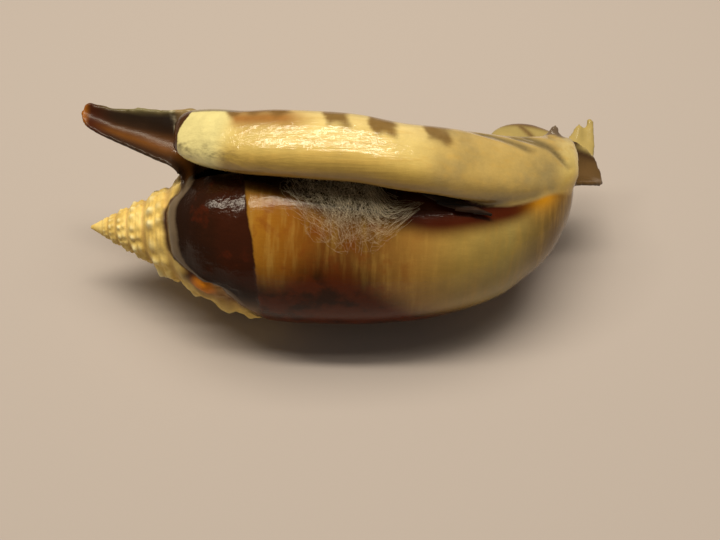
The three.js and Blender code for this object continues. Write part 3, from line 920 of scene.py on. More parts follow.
class Distances:
    """How far points lie from each part of the shell before the parts are joined."""

    def __init__(self, parts: dict[str, bpy.types.Object]) -> None:
        """Remember every part's surface.

        Args:
            parts: The parts by name.
        """
        self.trees = {}
        for name, part in parts.items():
            polygons = [tuple(face.vertices) for face in part.data.polygons]
            self.trees[name] = BVHTree.FromPolygons([v.co.copy() for v in part.data.vertices], polygons)

    def nearest(self, points: np.ndarray, name: str) -> np.ndarray:
        """The nearest place on one part, or the point itself where that is over 1 mm away."""
        found = [self.trees[name].find_nearest(point, 1.0)[0] for point in points]
        return np.array([point if place is None else place for point, place in zip(points, found)])

    def to(self, points: np.ndarray, *names: str) -> np.ndarray:
        """The distance from each point to the nearest of the named parts, up to 3 mm.

        Args:
            points: Places in space, one per row.
            names: The parts to measure from.

        Returns:
            A distance for each point, in millimetres.
        """
        best = np.full(len(points), 3.0)
        for i, point in enumerate(points):
            for name in names:
                found = self.trees[name].find_nearest(point, best[i])[3]
                if found is not None and found < best[i]:
                    best[i] = found
        return best


def paint(red: float, green: float, blue: float) -> tuple[float, float, float, float]:
    """A colour from the usual 0 to 255 values, made linear for a shader.

    Args:
        red: Red, from 0 to 255.
        green: Green, from 0 to 255.
        blue: Blue, from 0 to 255.

    Returns:
        The linear colour, with full cover.
    """
    def linear(value: float) -> float:
        """One channel."""
        share = value / 255
        return share / 12.92 if share <= 0.04045 else ((share + 0.055) / 1.055) ** 2.4

    return (linear(red), linear(green), linear(blue), 1.0)


class Wiring:
    """Builds one node tree in a few words."""

    def __init__(self, tree: bpy.types.NodeTree) -> None:
        """Work on an empty tree."""
        self.tree = tree

    def add(self, kind: str, inputs: dict | None = None, **settings: object) -> bpy.types.Node:
        """Add a node, with its settings and with values or links for its inputs.

        Args:
            kind: The node's type.
            inputs: Values or links, by the name or number of the input.
            settings: The node's own settings.

        Returns:
            The new node.
        """
        node = self.tree.nodes.new(kind)
        for name, value in settings.items():
            setattr(node, name, value)
        for name, value in (inputs or {}).items():
            self.feed(node.inputs[name], value)
        return node

    def feed(self, socket: Socket, value: object) -> None:
        """Link a socket, or set its constant.

        Args:
            socket: The input to set.
            value: A socket to link, or a constant.
        """
        if isinstance(value, Socket):
            self.tree.links.new(value, socket)
        else:
            socket.default_value = value

    def field(self, name: str) -> Socket:
        """A number stored on the mesh."""
        return self.add("ShaderNodeAttribute", attribute_name=name).outputs["Fac"]

    def place(self) -> Socket:
        """The place on the object."""
        return self.add("ShaderNodeTexCoord").outputs["Object"]

    def math(self, operation: str, first: object, second: object) -> Socket:
        """The result of one operation on two values."""
        return self.add("ShaderNodeMath", {0: first, 1: second}, operation=operation).outputs[0]

    def plus(self, first: object, second: object) -> Socket:
        """The sum of two values."""
        return self.math("ADD", first, second)

    def minus(self, first: object, second: object) -> Socket:
        """The first value less the second."""
        return self.math("SUBTRACT", first, second)

    def times(self, first: object, *others: object) -> Socket:
        """The product of the values.

        Args:
            first: A value.
            others: What to multiply it by.

        Returns:
            The product.
        """
        for other in others:
            first = self.math("MULTIPLY", first, other)
        return first

    def between(self, value: object, low: float, high: float) -> Socket:
        """A smooth step from 0 at low to 1 at high.

        Args:
            value: The value to read.
            low: Where the step starts.
            high: Where the step ends.

        Returns:
            A share from 0 to 1.
        """
        node = self.add("ShaderNodeMapRange", {"Value": value, "From Min": low, "From Max": high},
                        interpolation_type="SMOOTHSTEP")
        return node.outputs["Result"]

    def scaled(self, value: object, low: float, high: float) -> Socket:
        """A value from 0 to 1 spread between two others."""
        node = self.add("ShaderNodeMapRange", {"Value": value, "To Min": low, "To Max": high})
        return node.outputs["Result"]

    def blend(self, share: object, under: object, over: object) -> Socket:
        """One colour laid over another.

        Args:
            share: How much of the upper colour shows.
            under: The lower colour.
            over: The upper colour.

        Returns:
            The colour.
        """
        node = self.add("ShaderNodeMix", data_type="RGBA")
        for socket, value in ((0, share), (6, under), (7, over)):
            self.feed(node.inputs[socket], value)
        return node.outputs[2]

    def mixed(self, share: object, under: Colour, over: Colour) -> Socket:
        """One plain colour laid over another."""
        return self.blend(share, paint(*under), paint(*over))

    def layered(self, base: object, *layers: tuple[object, Colour]) -> Socket:
        """Plain colours laid over a base one after another, each by its share.

        Args:
            base: The lowest colour.
            layers: A share and a colour for each layer, in order.

        Returns:
            The colour.
        """
        for share, colour in layers:
            base = self.blend(share, base, paint(*colour))
        return base

    def ramp(self, value: object, stops: Stops) -> Socket:
        """Colours along a value from 0 to 1.

        Args:
            value: The value to read.
            stops: Places from 0 to 1, each with its colour.

        Returns:
            The colour.
        """
        node = self.add("ShaderNodeValToRGB", {"Fac": value})
        ramp = node.color_ramp
        while len(ramp.elements) < len(stops):
            ramp.elements.new(0.5)
        for element, (place, colour) in zip(ramp.elements, stops):
            element.position = place
            element.color = paint(*colour)
        return node.outputs["Color"]

    def noise(self, vector: object, scale: object, detail: float = 4.0, roughness: float = 0.55,
              distortion: float = 0.0) -> Socket:
        """Cloudy variation from 0 to 1.

        Args:
            vector: The place to read.
            scale: How fine the variation is.
            detail: How many finer layers it has.
            roughness: How strong the finer layers are.
            distortion: How much it swirls.

        Returns:
            A share from 0 to 1.
        """
        node = self.add("ShaderNodeTexNoise", {
            "Vector": vector, "Scale": scale, "Detail": detail, "Roughness": roughness,
            "Distortion": distortion,
        })
        return node.outputs["Fac"]

    def streaks(self, vector: object, scale: tuple[float, float, float],
                detail: float = 4.0) -> Socket:
        """Variation drawn out along the axes whose scale is low."""
        drawn = self.add("ShaderNodeMapping", {"Vector": vector, "Scale": scale})
        return self.noise(drawn.outputs["Vector"], 1.0, detail)

    def bump(self, height: object, strength: float, under: object = None,
             distance: float = 0.0004) -> Socket:
        """A normal raised by a height, over another normal where one is given.

        Args:
            height: The height to raise.
            strength: How strongly it shows.
            under: The normal below it.
            distance: The height of 1, in metres.

        Returns:
            The normal.
        """
        node = self.add("ShaderNodeBump", {"Height": height, "Strength": strength, "Distance": distance})
        if under is not None:
            self.feed(node.inputs["Normal"], under)
        return node.outputs["Normal"]


class EffectGroup:
    """A shader node group that several finishes use."""

    def __init__(self, name: str, inputs: dict[str, tuple[str, float]], outputs: dict[str, str]) -> None:
        """Start the group with its named sockets.

        Args:
            name: The group's name.
            inputs: Each input's type and value, by name.
            outputs: Each output's type, by name.
        """
        self.tree = bpy.data.node_groups.new(name, "ShaderNodeTree")
        for socket, (kind, value) in inputs.items():
            made = self.tree.interface.new_socket(socket, in_out="INPUT", socket_type=kind)
            if kind == "NodeSocketFloat":
                made.default_value = value
        for socket, kind in outputs.items():
            self.tree.interface.new_socket(socket, in_out="OUTPUT", socket_type=kind)
        self.wiring = Wiring(self.tree)
        self.inside = self.wiring.add("NodeGroupInput").outputs
        self.result = self.wiring.add("NodeGroupOutput").inputs

    def place(self, wiring: Wiring, **values: object) -> bpy.types.bpy_prop_collection:
        """Use the group in a material.

        Args:
            wiring: The material's wiring.
            values: Values or links for the inputs, with _ for a space.

        Returns:
            The group's outputs.
        """
        node = wiring.add("ShaderNodeGroup", node_tree=self.tree)
        for name, value in values.items():
            wiring.feed(node.inputs[name.replace("_", " ")], value)
        return node.outputs


def cloud_group() -> EffectGroup:
    """Cloudy tone: lightens and darkens a colour in patches, with a fine speckle over them.

    Returns:
        The group, which gives the toned colour and the patches.
    """
    group = EffectGroup(
        "cloudy_tone",
        {"Colour": ("NodeSocketColor", 0), "Place": ("NodeSocketVector", 0),
         "Patch Scale": ("NodeSocketFloat", 300.0), "Depth": ("NodeSocketFloat", 0.3),
         "Speckle": ("NodeSocketFloat", 0.1)},
        {"Colour": "NodeSocketColor", "Patches": "NodeSocketFloat"},
    )
    work, given = group.wiring, group.inside
    spread = work.between(work.noise(given["Place"], given["Patch Scale"], 5.0, 0.6), 0.3, 0.7)
    speckle = work.noise(given["Place"], work.times(given["Patch Scale"], 9.0), 2.0, 0.5)
    tone = work.times(work.minus(spread, 0.5), given["Depth"])
    dots = work.times(work.minus(speckle, 0.5), given["Speckle"])
    value = work.plus(work.plus(tone, dots), 1.0)
    toned = work.add("ShaderNodeHueSaturation", {"Color": given["Colour"], "Value": value})
    work.feed(group.result["Colour"], toned.outputs["Color"])
    work.feed(group.result["Patches"], spread)
    return group


def grain_group() -> EffectGroup:
    """Fine surface relief: growth lines that run one way, with a grain over them.

    Returns:
        The group, which gives a height.
    """
    group = EffectGroup(
        "fine_relief",
        {"Place": ("NodeSocketVector", 0), "Lines": ("NodeSocketFloat", 0.5),
         "Grain": ("NodeSocketFloat", 0.2), "Grain Scale": ("NodeSocketFloat", 4000.0)},
        {"Height": "NodeSocketFloat"},
    )
    work, given = group.wiring, group.inside
    lines = work.streaks(given["Place"], (260, 1900, 1900), 3.0)
    grain = work.noise(given["Place"], given["Grain Scale"], 3.0, 0.5)
    height = work.plus(work.times(lines, given["Lines"]), work.times(grain, given["Grain"]))
    work.feed(group.result["Height"], height)
    return group


@dataclass
class Effects:
    """The node groups that the finishes share."""

    cloud: EffectGroup = field(default_factory=cloud_group)
    grain: EffectGroup = field(default_factory=grain_group)


def new_material(name: str) -> tuple[bpy.types.Material, Wiring, bpy.types.Node]:
    """An empty material, with its wiring and its shader.

    Args:
        name: The material's name.

    Returns:
        The material, its wiring and its shader.
    """
    material = bpy.data.materials.new(name)
    material.use_nodes = True
    material.node_tree.nodes.clear()
    wiring = Wiring(material.node_tree)
    shader = wiring.add("ShaderNodeBsdfPrincipled")
    wiring.add("ShaderNodeOutputMaterial", {"Surface": shader.outputs["BSDF"]})
    return material, wiring, shader


class ShellSurface:
    """The shell's node tree, with the place and the noises that its layers share."""

    def __init__(self, work: Wiring) -> None:
        """Make the shared noises and the ragged edges of the glaze.

        Args:
            work: The material's wiring.
        """
        self.work = work
        self.place = work.place()
        self.drift = work.noise(self.place, 420.0)
        self.bands = work.streaks(self.place, (1300, 170, 170))
        self.grain = work.streaks(self.place, (45, 1100, 1100), 3.0)
        self.flecks = work.streaks(self.place, (350, 900, 900), 5.0)
        wobble = work.minus(self.flecks, 0.5)
        self.ragged = work.times(wobble, 0.9)
        self.past_edge = work.plus(work.field("past_edge"), work.times(wobble, 0.5))
        self.past_step = work.plus(work.field("past_step"), work.times(wobble, 0.5))


@dataclass(frozen=True)
class ShellFinish:
    """The shell's own tones and gloss, with painted shade in its hollows, creases and dark places and
    painted highlight on its nodules.
    """

    bare: Stops = (
        (0.25, (104, 66, 32)), (0.45, (150, 106, 54)), (0.62, (184, 144, 84)), (0.8, (206, 180, 126)),
    )
    growth_streak: Colour = (92, 56, 28)
    cream_fleck: Colour = (222, 202, 156)
    spire: Stops = ((0.2, (206, 170, 88)), (0.5, (232, 200, 114)), (0.8, (244, 220, 142)))
    # Paler on the raised beads and knobs: partly their own cream, partly painted highlight
    nodule: Colour = (250, 240, 186)
    # Darker and pinker in the hollows of the spire: partly their own tone, partly painted shade
    hollow: Colour = (164, 118, 80)
    back_glaze: Stops = (
        (0.0, (84, 50, 26)), (0.03, (118, 104, 86)), (0.11, (106, 90, 72)), (0.15, (34, 17, 7)),
        (0.3, (40, 18, 6)), (0.55, (46, 20, 6)), (1.0, (72, 26, 8)),
    )
    red_cloud: Colour = (92, 30, 6)
    thin_glaze: Colour = (122, 92, 62)
    ring: Colour = (62, 22, 8)
    golden: Stops = (
        (0.0, (158, 118, 48)), (0.08, (160, 108, 30)), (0.18, (142, 88, 22)), (0.3, (112, 68, 22)),
        (0.42, (120, 80, 32)), (0.55, (160, 118, 54)), (0.7, (168, 140, 72)), (0.85, (160, 140, 78)),
        (1.0, (116, 88, 46)),
    )
    pale_streak: Colour = (186, 148, 72)
    amber_streak: Colour = (120, 60, 14)
    # Painted shade: the low glaze and its clouds are the body's own dark red-brown, darkened further on the
    # side that faces down
    low_glaze_and_shade: Colour = (88, 37, 11)
    low_cloud_and_shade: Colour = (54, 26, 10)
    # Painted shade: the glaze close under the lip is its own dark brown, darkened further for the roll's
    # shadow over it
    top_glaze_and_shade: Colour = (70, 24, 4)
    dark_glaze_and_shade: Colour = (30, 15, 6)
    knob: Colour = (214, 130, 22)
    edge_band: Colour = (60, 34, 16)
    # Darker towards the inner, lower edge of the roll: partly the lip's own tan, partly painted shade on the
    # side that faces down
    lip: Stops = (
        (0.0, (166, 134, 70)), (0.15, (194, 164, 86)), (0.35, (220, 194, 116)), (0.6, (228, 204, 130)),
        (0.85, (224, 202, 140)), (1.0, (176, 156, 108)),
    )
    lip_front: Colour = (190, 160, 94)
    lip_end: Colour = (236, 224, 158)
    lip_start: Colour = (74, 44, 20)
    lip_rim: Colour = (92, 78, 48)
    blotch: Colour = (112, 80, 36)
    amber: Colour = (160, 112, 56)
    smudge: Colour = (138, 126, 94)
    lip_streak: Colour = (206, 168, 88)
    # Dark from 0.62 to 0.84 under the rim: the trough's own dark brown with painted shadow cast by the rim
    trough: Stops = (
        (0.0, (66, 48, 34)), (0.12, (56, 36, 24)), (0.3, (106, 64, 22)), (0.48, (84, 50, 20)),
        (0.62, (58, 38, 24)), (0.84, (56, 42, 30)), (0.9, (92, 80, 54)), (1.0, (132, 124, 86)),
    )
    tip: Colour = (158, 92, 14)
    tip_band: Colour = (66, 28, 10)
    feather: Colour = (170, 136, 92)
    crack: Colour = (232, 222, 190)
    spot: Colour = (196, 136, 22)
    # Grey-brown: the real streaks low on the roll's left end, and painted shade in the creases of its front
    # end
    crease: Colour = (104, 92, 66)
    peak: Colour = (116, 100, 84)
    canal: Colour = (100, 76, 46)
    canal_rim: Colour = (58, 38, 28)
    fold: Colour = (168, 150, 94)
    # Brown along the fold's far edge, its own colour, and painted shade along its groove
    fold_line: Colour = (96, 66, 40)
    prong: Colour = (178, 158, 98)
    # Near-black in the slit: the inside's own dark brown with painted shade deep in it
    inside: Colour = (34, 17, 8)
    glaze_roughness: float = 0.13
    bare_roughness: float = 0.46
    coat_roughness: float = 0.06
    refraction: float = 1.4

    def bare_colour(self, surface: ShellSurface) -> Socket:
        """The mottled outer shell where no glaze covers it.

        Args:
            surface: The shell's node tree with its shared noises.

        Returns:
            The colour.
        """
        work, place = surface.work, surface.place
        growth = work.between(work.streaks(place, (90, 800, 800), 3.0), 0.5, 0.72)
        flecks = work.between(work.streaks(place, (420, 700, 700)), 0.56, 0.72)
        return work.layered(
            work.ramp(work.noise(place, 230.0, 6.0, 0.62, 0.6), self.bare),
            (work.times(growth, 0.45), self.growth_streak),
            (work.times(flecks, 0.4), self.cream_fleck),
        )

    def back_colour(self, surface: ShellSurface) -> Socket:
        """The very dark glaze beside the spire.

        Args:
            surface: The shell's node tree with its shared noises.

        Returns:
            The colour.
        """
        work = surface.work
        red = work.times(work.between(surface.drift, 0.52, 0.72), work.between(surface.past_edge, 2.5, 4.0),
                         0.4)
        return work.layered(
            work.ramp(work.scaled(work.times(surface.past_edge, 1 / 12), 0, 1), self.back_glaze),
            (work.field("thin"), self.thin_glaze),
            (red, self.red_cloud),
        )

    def golden_colour(self, surface: ShellSurface) -> Socket:
        """The golden glaze, darker low on the body and close under the lip: its own darker tone there, with
        painted shade.

        Args:
            surface: The shell's node tree with its shared noises.

        Returns:
            The colour.
        """
        work, mask = surface.work, surface.work.field
        golden = work.layered(
            work.ramp(mask("axial"), self.golden),
            (work.times(work.between(surface.bands, 0.42, 0.75), 0.42), self.pale_streak),
            (work.times(work.between(surface.drift, 0.5, 0.7), work.minus(1.0, mask("red")), 0.6),
             self.amber_streak),
        )
        # Low on the body: its own dark red-brown with painted shade on the side that faces down
        clouds = work.between(work.noise(surface.place, 260.0), 0.45, 0.65)
        golden = work.blend(mask("low"), golden, work.mixed(clouds, self.low_glaze_and_shade, self.low_cloud_and_shade))
        # Close under the lip: its own dark brown with painted shade from the roll
        return work.blend(mask("top"), golden, work.mixed(mask("red"), self.dark_glaze_and_shade, self.top_glaze_and_shade))

    def body_colour(self, surface: ShellSurface, bare: Socket) -> Socket:
        """The spire and the bare last whorl, with the two layers of glaze over them.

        Args:
            surface: The shell's node tree with its shared noises.
            bare: The bare shell's colour.

        Returns:
            The colour.
        """
        work, mask = surface.work, surface.work.field
        rough = work.layered(
            work.blend(work.between(mask("spire"), 0.2, 0.8), bare, work.ramp(surface.drift, self.spire)),
            (mask("nodule"), self.nodule),
            (mask("hollow"), self.hollow),
            (mask("dark_ring"), self.ring),
            (mask("knob"), self.knob),
            (work.times(work.between(surface.past_edge, -1.1, -0.1), mask("spire")), self.edge_band),
        )
        glaze = work.blend(work.between(surface.past_step, 0.0, 0.35), self.back_colour(surface),
                           self.golden_colour(surface))
        body = work.blend(work.between(surface.past_edge, -0.1, 0.15), rough, glaze)
        return work.layered(body, (mask("spot"), self.spot))

    def lip_colour(self, surface: ShellSurface, bare: Socket) -> Socket:
        """The rolled lip, with its blotches, streaks and clouds, and painted shade along its lower edge and
        in its creases.

        Args:
            surface: The shell's node tree with its shared noises.
            bare: The bare shell's colour.

        Returns:
            The colour.
        """
        work, mask = surface.work, surface.work.field

        def ragged(name: str, low: float, high: float) -> Socket:
            """A mask with a broken edge."""
            return work.between(work.plus(mask(name), surface.ragged), low, high)

        clouds = work.between(work.noise(surface.place, 170.0), 0.35, 0.75)
        lip = work.layered(
            # The ramp carries painted shade towards the roll's lower edge
            work.ramp(mask("lip_across"), self.lip),
            (work.times(mask("smudge"), 0.75), self.lip_front),
            (work.times(work.between(surface.grain, 0.45, 0.75), 0.5), self.lip_streak),
            (mask("lip_end"), self.lip_end),
            (mask("amber"), self.amber),
            (work.times(ragged("blotch", 0.1, 1.0), 0.88), self.blotch),
            (work.times(ragged("lip_rim", 0.3, 0.9), 0.8), self.lip_rim),
            (work.times(mask("low_smudge"), work.between(surface.grain, 0.4, 0.8)), self.crease),
            (ragged("lip_start", 0.35, 0.65), self.lip_start),
            (work.times(mask("smudge"), clouds, 0.7), self.smudge),
        )
        lip = work.blend(mask("lip_back"), lip, bare)
        # Painted shade in the creases of the roll's front end
        return work.layered(lip, (work.times(mask("crease"), 0.85), self.crease))

    def finger_colour(self, surface: ShellSurface, bare: Socket) -> Socket:
        """The finger: a dark trough with an amber tip, cracked and feathered beside the lip.

        Args:
            surface: The shell's node tree with its shared noises.
            bare: The bare shell's colour.

        Returns:
            The colour.
        """
        work, mask = surface.work, surface.work.field
        trough = work.layered(
            work.ramp(mask("finger_across"), self.trough),
            (work.times(mask("feather"), surface.flecks), self.feather),
            (work.times(mask("crack"), work.between(surface.flecks, 0.35, 0.6)), self.crack),
            (mask("tip_band"), self.tip_band),
            (mask("finger_tip"), self.tip),
        )
        return work.blend(mask("finger_back"), trough, bare)

    def colour(self, surface: ShellSurface) -> Socket:
        """The whole shell's colour, one part laid over another.

        Args:
            surface: The shell's node tree with its shared noises.

        Returns:
            The colour.
        """
        work, mask = surface.work, surface.work.field
        bare = self.bare_colour(surface)
        whole = self.body_colour(surface, bare)
        for name, over in (
            ("lip", self.lip_colour(surface, bare)),
            ("canal", work.mixed(mask("canal_rim"), self.canal, self.canal_rim)),
            ("fold", work.mixed(mask("fold_line"), self.fold, self.fold_line)),
            ("prong", paint(*self.prong)),
            ("peak", paint(*self.peak)),
            ("finger", self.finger_colour(surface, bare)),
            # The slit's inside: own dark brown with painted shade
            ("inside", paint(*self.inside)),
        ):
            whole = work.blend(mask(name), whole, over)
        return whole

    def set_gloss(self, surface: ShellSurface, shader: bpy.types.Node) -> None:
        """Make the glaze glossy, the bare shell matt, and lay a clear coat on the lip.

        Args:
            surface: The shell's node tree with its shared noises.
            shader: The shader to set.
        """
        work, mask = surface.work, surface.work.field
        dull = work.times(work.minus(1.0, work.between(surface.past_edge, -0.2, 0.2)),
                          work.minus(1.0, mask("limb")))
        matt = work.math("MAXIMUM", dull, work.times(mask("finger"), 0.45))
        roughness = work.plus(work.scaled(matt, self.glaze_roughness, self.bare_roughness),
                              work.scaled(surface.drift, -0.05, 0.10))
        work.feed(shader.inputs["Roughness"], roughness)
        work.feed(shader.inputs["Coat Weight"], work.scaled(mask("lip"), 0.0, 0.45))
        work.feed(shader.inputs["Specular IOR Level"], work.scaled(mask("low"), 0.5, 0.2))
        shader.inputs["Coat Roughness"].default_value = self.coat_roughness
        shader.inputs["IOR"].default_value = self.refraction

    def set_relief(self, surface: ShellSurface, shader: bpy.types.Node, effects: Effects) -> None:
        """Raise the growth lines, the lip's ridges and the pits of the dark glaze.

        Args:
            surface: The shell's node tree with its shared noises.
            shader: The shader to set.
            effects: The node groups that the finishes share.
        """
        work, mask = surface.work, surface.work.field
        fine = effects.grain.place(work, Place=surface.place, Lines=0.5, Grain=0.25, Grain_Scale=5200.0)
        normal = work.bump(fine["Height"], 0.16)
        for height, strength in (
            (work.times(surface.grain, mask("ridged")), 0.28),
            (work.times(surface.bands, work.minus(1.0, mask("limb"))), 0.12),
            (work.times(work.noise(surface.place, 800.0, 3.0), mask("pitted")), 0.3),
        ):
            normal = work.bump(height, strength, normal)
        work.feed(shader.inputs["Normal"], normal)
        swell = work.times(work.between(work.noise(surface.place, 260.0), 0.3, 0.7), mask("ridged"))
        coat = work.bump(work.plus(work.times(surface.grain, 0.25), swell), 0.3)
        work.feed(shader.inputs["Coat Normal"], coat)

    def material(self, effects: Effects) -> bpy.types.Material:
        """Build the material.

        Args:
            effects: The node groups that the finishes share.

        Returns:
            The material.
        """
        material, work, shader = new_material("shell_glaze_over_growth")
        surface = ShellSurface(work)
        toned = effects.cloud.place(work, Colour=self.colour(surface), Place=surface.place,
                                    Patch_Scale=420.0, Depth=0.14, Speckle=0.1)
        work.feed(shader.inputs["Base Color"], toned["Colour"])
        self.set_gloss(surface, shader)
        self.set_relief(surface, shader, effects)
        return material


# Where each brown blotch starts and ends along the roll, and how far across it reaches
BLOTCHES = ((21.0, 29.4, 0.84), (33.4, 36.5, 0.7), (38.9, 42.4, 0.66), (46.0, 49.2, 0.68))
# The angles at which the golden glaze turns dark low on the body, and close under the lip: its own darker
# colour there, with painted shade
LOW_EDGE: Curve = ((23, 58), (28, 62), (33, 50), (38, 56), (42, 74), (46, 90), (52, 102), (60, 116))
TOP_EDGE: Curve = ((23, 3), (26, 9), (30, 15), (34, 22), (42, 27), (48, 33), (55, 33), (60, 29), (63, 18))


@dataclass
class Shell:
    """The whole shell, grown as one piece."""

    body: Body = field(default_factory=Body)
    lip: OuterLip = field(default_factory=OuterLip)
    finger: Finger = field(default_factory=Finger)
    canal: Canal = field(default_factory=Canal)
    aperture: Aperture = field(default_factory=Aperture)
    first_voxel: float = 0.3
    voxel: float = 0.36
    spire_end: float = 14.2
    flat_band: float = 0.12
    thin_reach: float = 0.5
    finish: ShellFinish = field(default_factory=ShellFinish)

    def parts(self) -> dict[str, bpy.types.Object]:
        """Make every part before they are joined.

        Returns:
            The parts by name.
        """
        made = {"body": self.body.build(), "lip": self.lip.build(), "finger": self.finger.build()}
        made.update(self.canal.build())
        made["space"] = self.aperture.build()
        return made

    def joined(self, made: dict[str, bpy.types.Object]) -> bpy.types.Object:
        """Join the parts into one skin and open the aperture and the flat spot.

        Args:
            made: The parts by name.

        Returns:
            The joined shell.
        """
        space = made["space"]
        grown = [part for name, part in made.items() if name != "space"]
        bpy.ops.object.select_all(action="DESELECT")
        for part in grown:
            part.select_set(True)
        bpy.context.view_layer.objects.active = made["body"]
        bpy.ops.object.join()
        whole = made["body"]
        finish_with(whole, "REMESH", mode="VOXEL", voxel_size=self.first_voxel)
        finish_with(whole, "SMOOTH", factor=0.5, iterations=5)
        slab = added("slab", bpy.ops.mesh.primitive_cube_add, size=1, location=(35, 0, REST_LEVEL - 20),
                     scale=(200, 200, 40))
        only(slab)
        bpy.ops.object.transform_apply(location=True, rotation=True, scale=True)
        for cutter in (space, slab):
            finish_with(whole, "BOOLEAN", operation="DIFFERENCE", object=cutter, solver="MANIFOLD")
            bpy.data.objects.remove(cutter)
        finish_with(whole, "REMESH", mode="VOXEL", voxel_size=self.voxel)
        finish_with(whole, "SMOOTH", factor=0.5, iterations=2)
        return whole

    def refine_spire(self, whole: bpy.types.Object) -> None:
        """Divide the faces of the spire, whose relief is the finest.

        Args:
            whole: The joined shell.
        """
        only(whole)
        points = read_points(whole)
        x, angle, radius = COIL.polar(points)
        end = np.minimum(self.spire_end, along(COIL.callus_edge, angle) - 0.3)
        near = (x < end) & (radius < COIL.smooth_radius(x, angle) + 1.3)
        chosen = np.array([all(near[v] for v in face.vertices) for face in whole.data.polygons])
        whole.data.polygons.foreach_set("select", chosen)
        bpy.ops.object.mode_set(mode="EDIT")
        bpy.ops.mesh.subdivide(number_cuts=1, smoothness=0)
        bpy.ops.mesh.select_all(action="DESELECT")
        bpy.ops.object.mode_set(mode="OBJECT")

    def carve(self, whole: bpy.types.Object, near: Distances) -> None:
        """Bring the body's own relief back onto the joined skin.

        Args:
            whole: The joined shell.
            near: The parts' surfaces before they were joined.
        """
        points = read_points(whole)
        x, angle, radius = COIL.polar(points)
        target = COIL.radius(x, angle)
        limbs = near.to(points, "lip", "finger", "canal", "throat", "fold", "prong_1", "prong_2", "space")
        reach = ease(x, 0.05, 0.8) * 0.5 + 0.35
        share = (1 - ease(np.abs(radius - target), reach, reach + 0.5)) * ease(limbs, 0.35, 1.3)
        share = share * (1 - ease(x, 62, 65)) * ease(x, 0.0, 0.25)
        points = COIL.place(x, angle, radius + (target - radius) * share)
        points = self.trued(points, near)
        self.fold_lip(points, near)
        points[points[:, 2] < REST_LEVEL + self.flat_band, 2] = REST_LEVEL
        write_points(whole, points)
        limbs = near.to(points, "canal", "fold", "prong_1", "prong_2", "finger", "peak")
        thin = whole.vertex_groups.new(name="thin_edges")
        for vertex in np.flatnonzero(limbs < self.thin_reach):
            thin.add([int(vertex)], 1.0, "REPLACE")
        finish_with(whole, "SMOOTH", factor=0.5, iterations=4, vertex_group="thin_edges")

    def fold_lip(self, points: np.ndarray, near: Distances) -> None:
        """Press the creases and slow waves of the roll into its surface.

        Args:
            points: Places in space, one per row. They are moved in place.
            near: The parts' surfaces before they were joined.
        """
        on_lip = np.flatnonzero(near.to(points, "lip") < 0.3)
        chosen = points[on_lip]
        across, rise = self.lip.own_places(chosen)
        face = ease(rise, 0.2, 1.0) * ease(across, -0.1, 0.15)
        wave = 0.10 * ripple((chosen[:, 0] / 1.9, 0.5), (chosen[:, 0] / 3.3 + 3 * across, 1.4))
        depth = self.lip.crease_depth * self.lip.crease(chosen[:, 0], across)
        chosen[:, 2] += face * (wave * ease(across, 0.4, 0.9) - depth)
        points[on_lip] = chosen

    def trued(self, points: np.ndarray, near: Distances) -> np.ndarray:
        """Bring points back onto the limb they belong to, where no other part is close.

        Args:
            points: Places in space, one per row.
            near: The parts' surfaces before they were joined.

        Returns:
            The same points, moved.
        """
        names = ("lip", "finger", "canal", "prong_1", "prong_2", "fold", "peak")
        gaps = {name: near.to(points, name) for name in (*names, "body", "throat", "space")}
        for name in names:
            others = np.minimum.reduce([gap for other, gap in gaps.items() if other != name])
            share = (1 - ease(gaps[name], 0.45, 0.8)) * ease(others, 0.5, 1.1)
            moved = np.flatnonzero(share > 0.01)
            goal = near.nearest(points[moved], name)
            points[moved] += (goal - points[moved]) * share[moved, None]
        return points

    def mark(self, whole: bpy.types.Object, near: Distances) -> None:
        """Store where each kind of surface is, for the finish.

        Args:
            whole: The joined shell.
            near: The parts' surfaces before they were joined.
        """
        points = read_points(whole)
        x, angle, radius = COIL.polar(points)
        whorls = COIL.whorls_past_suture(x, angle)
        body = near.to(points, "body")
        lip = near.to(points, "lip")
        finger = near.to(points, "finger")
        canal = near.to(points, "canal", "throat")
        fold = near.to(points, "fold")
        prong = near.to(points, "prong_1", "prong_2")
        space = near.to(points, "space")

        def owned(own: np.ndarray, *others: np.ndarray) -> np.ndarray:
            """How much a point belongs to a part rather than to the others."""
            return ease(np.minimum.reduce(others) - own, -0.3, 0.3) * (1 - ease(own, 1.5, 2.5))

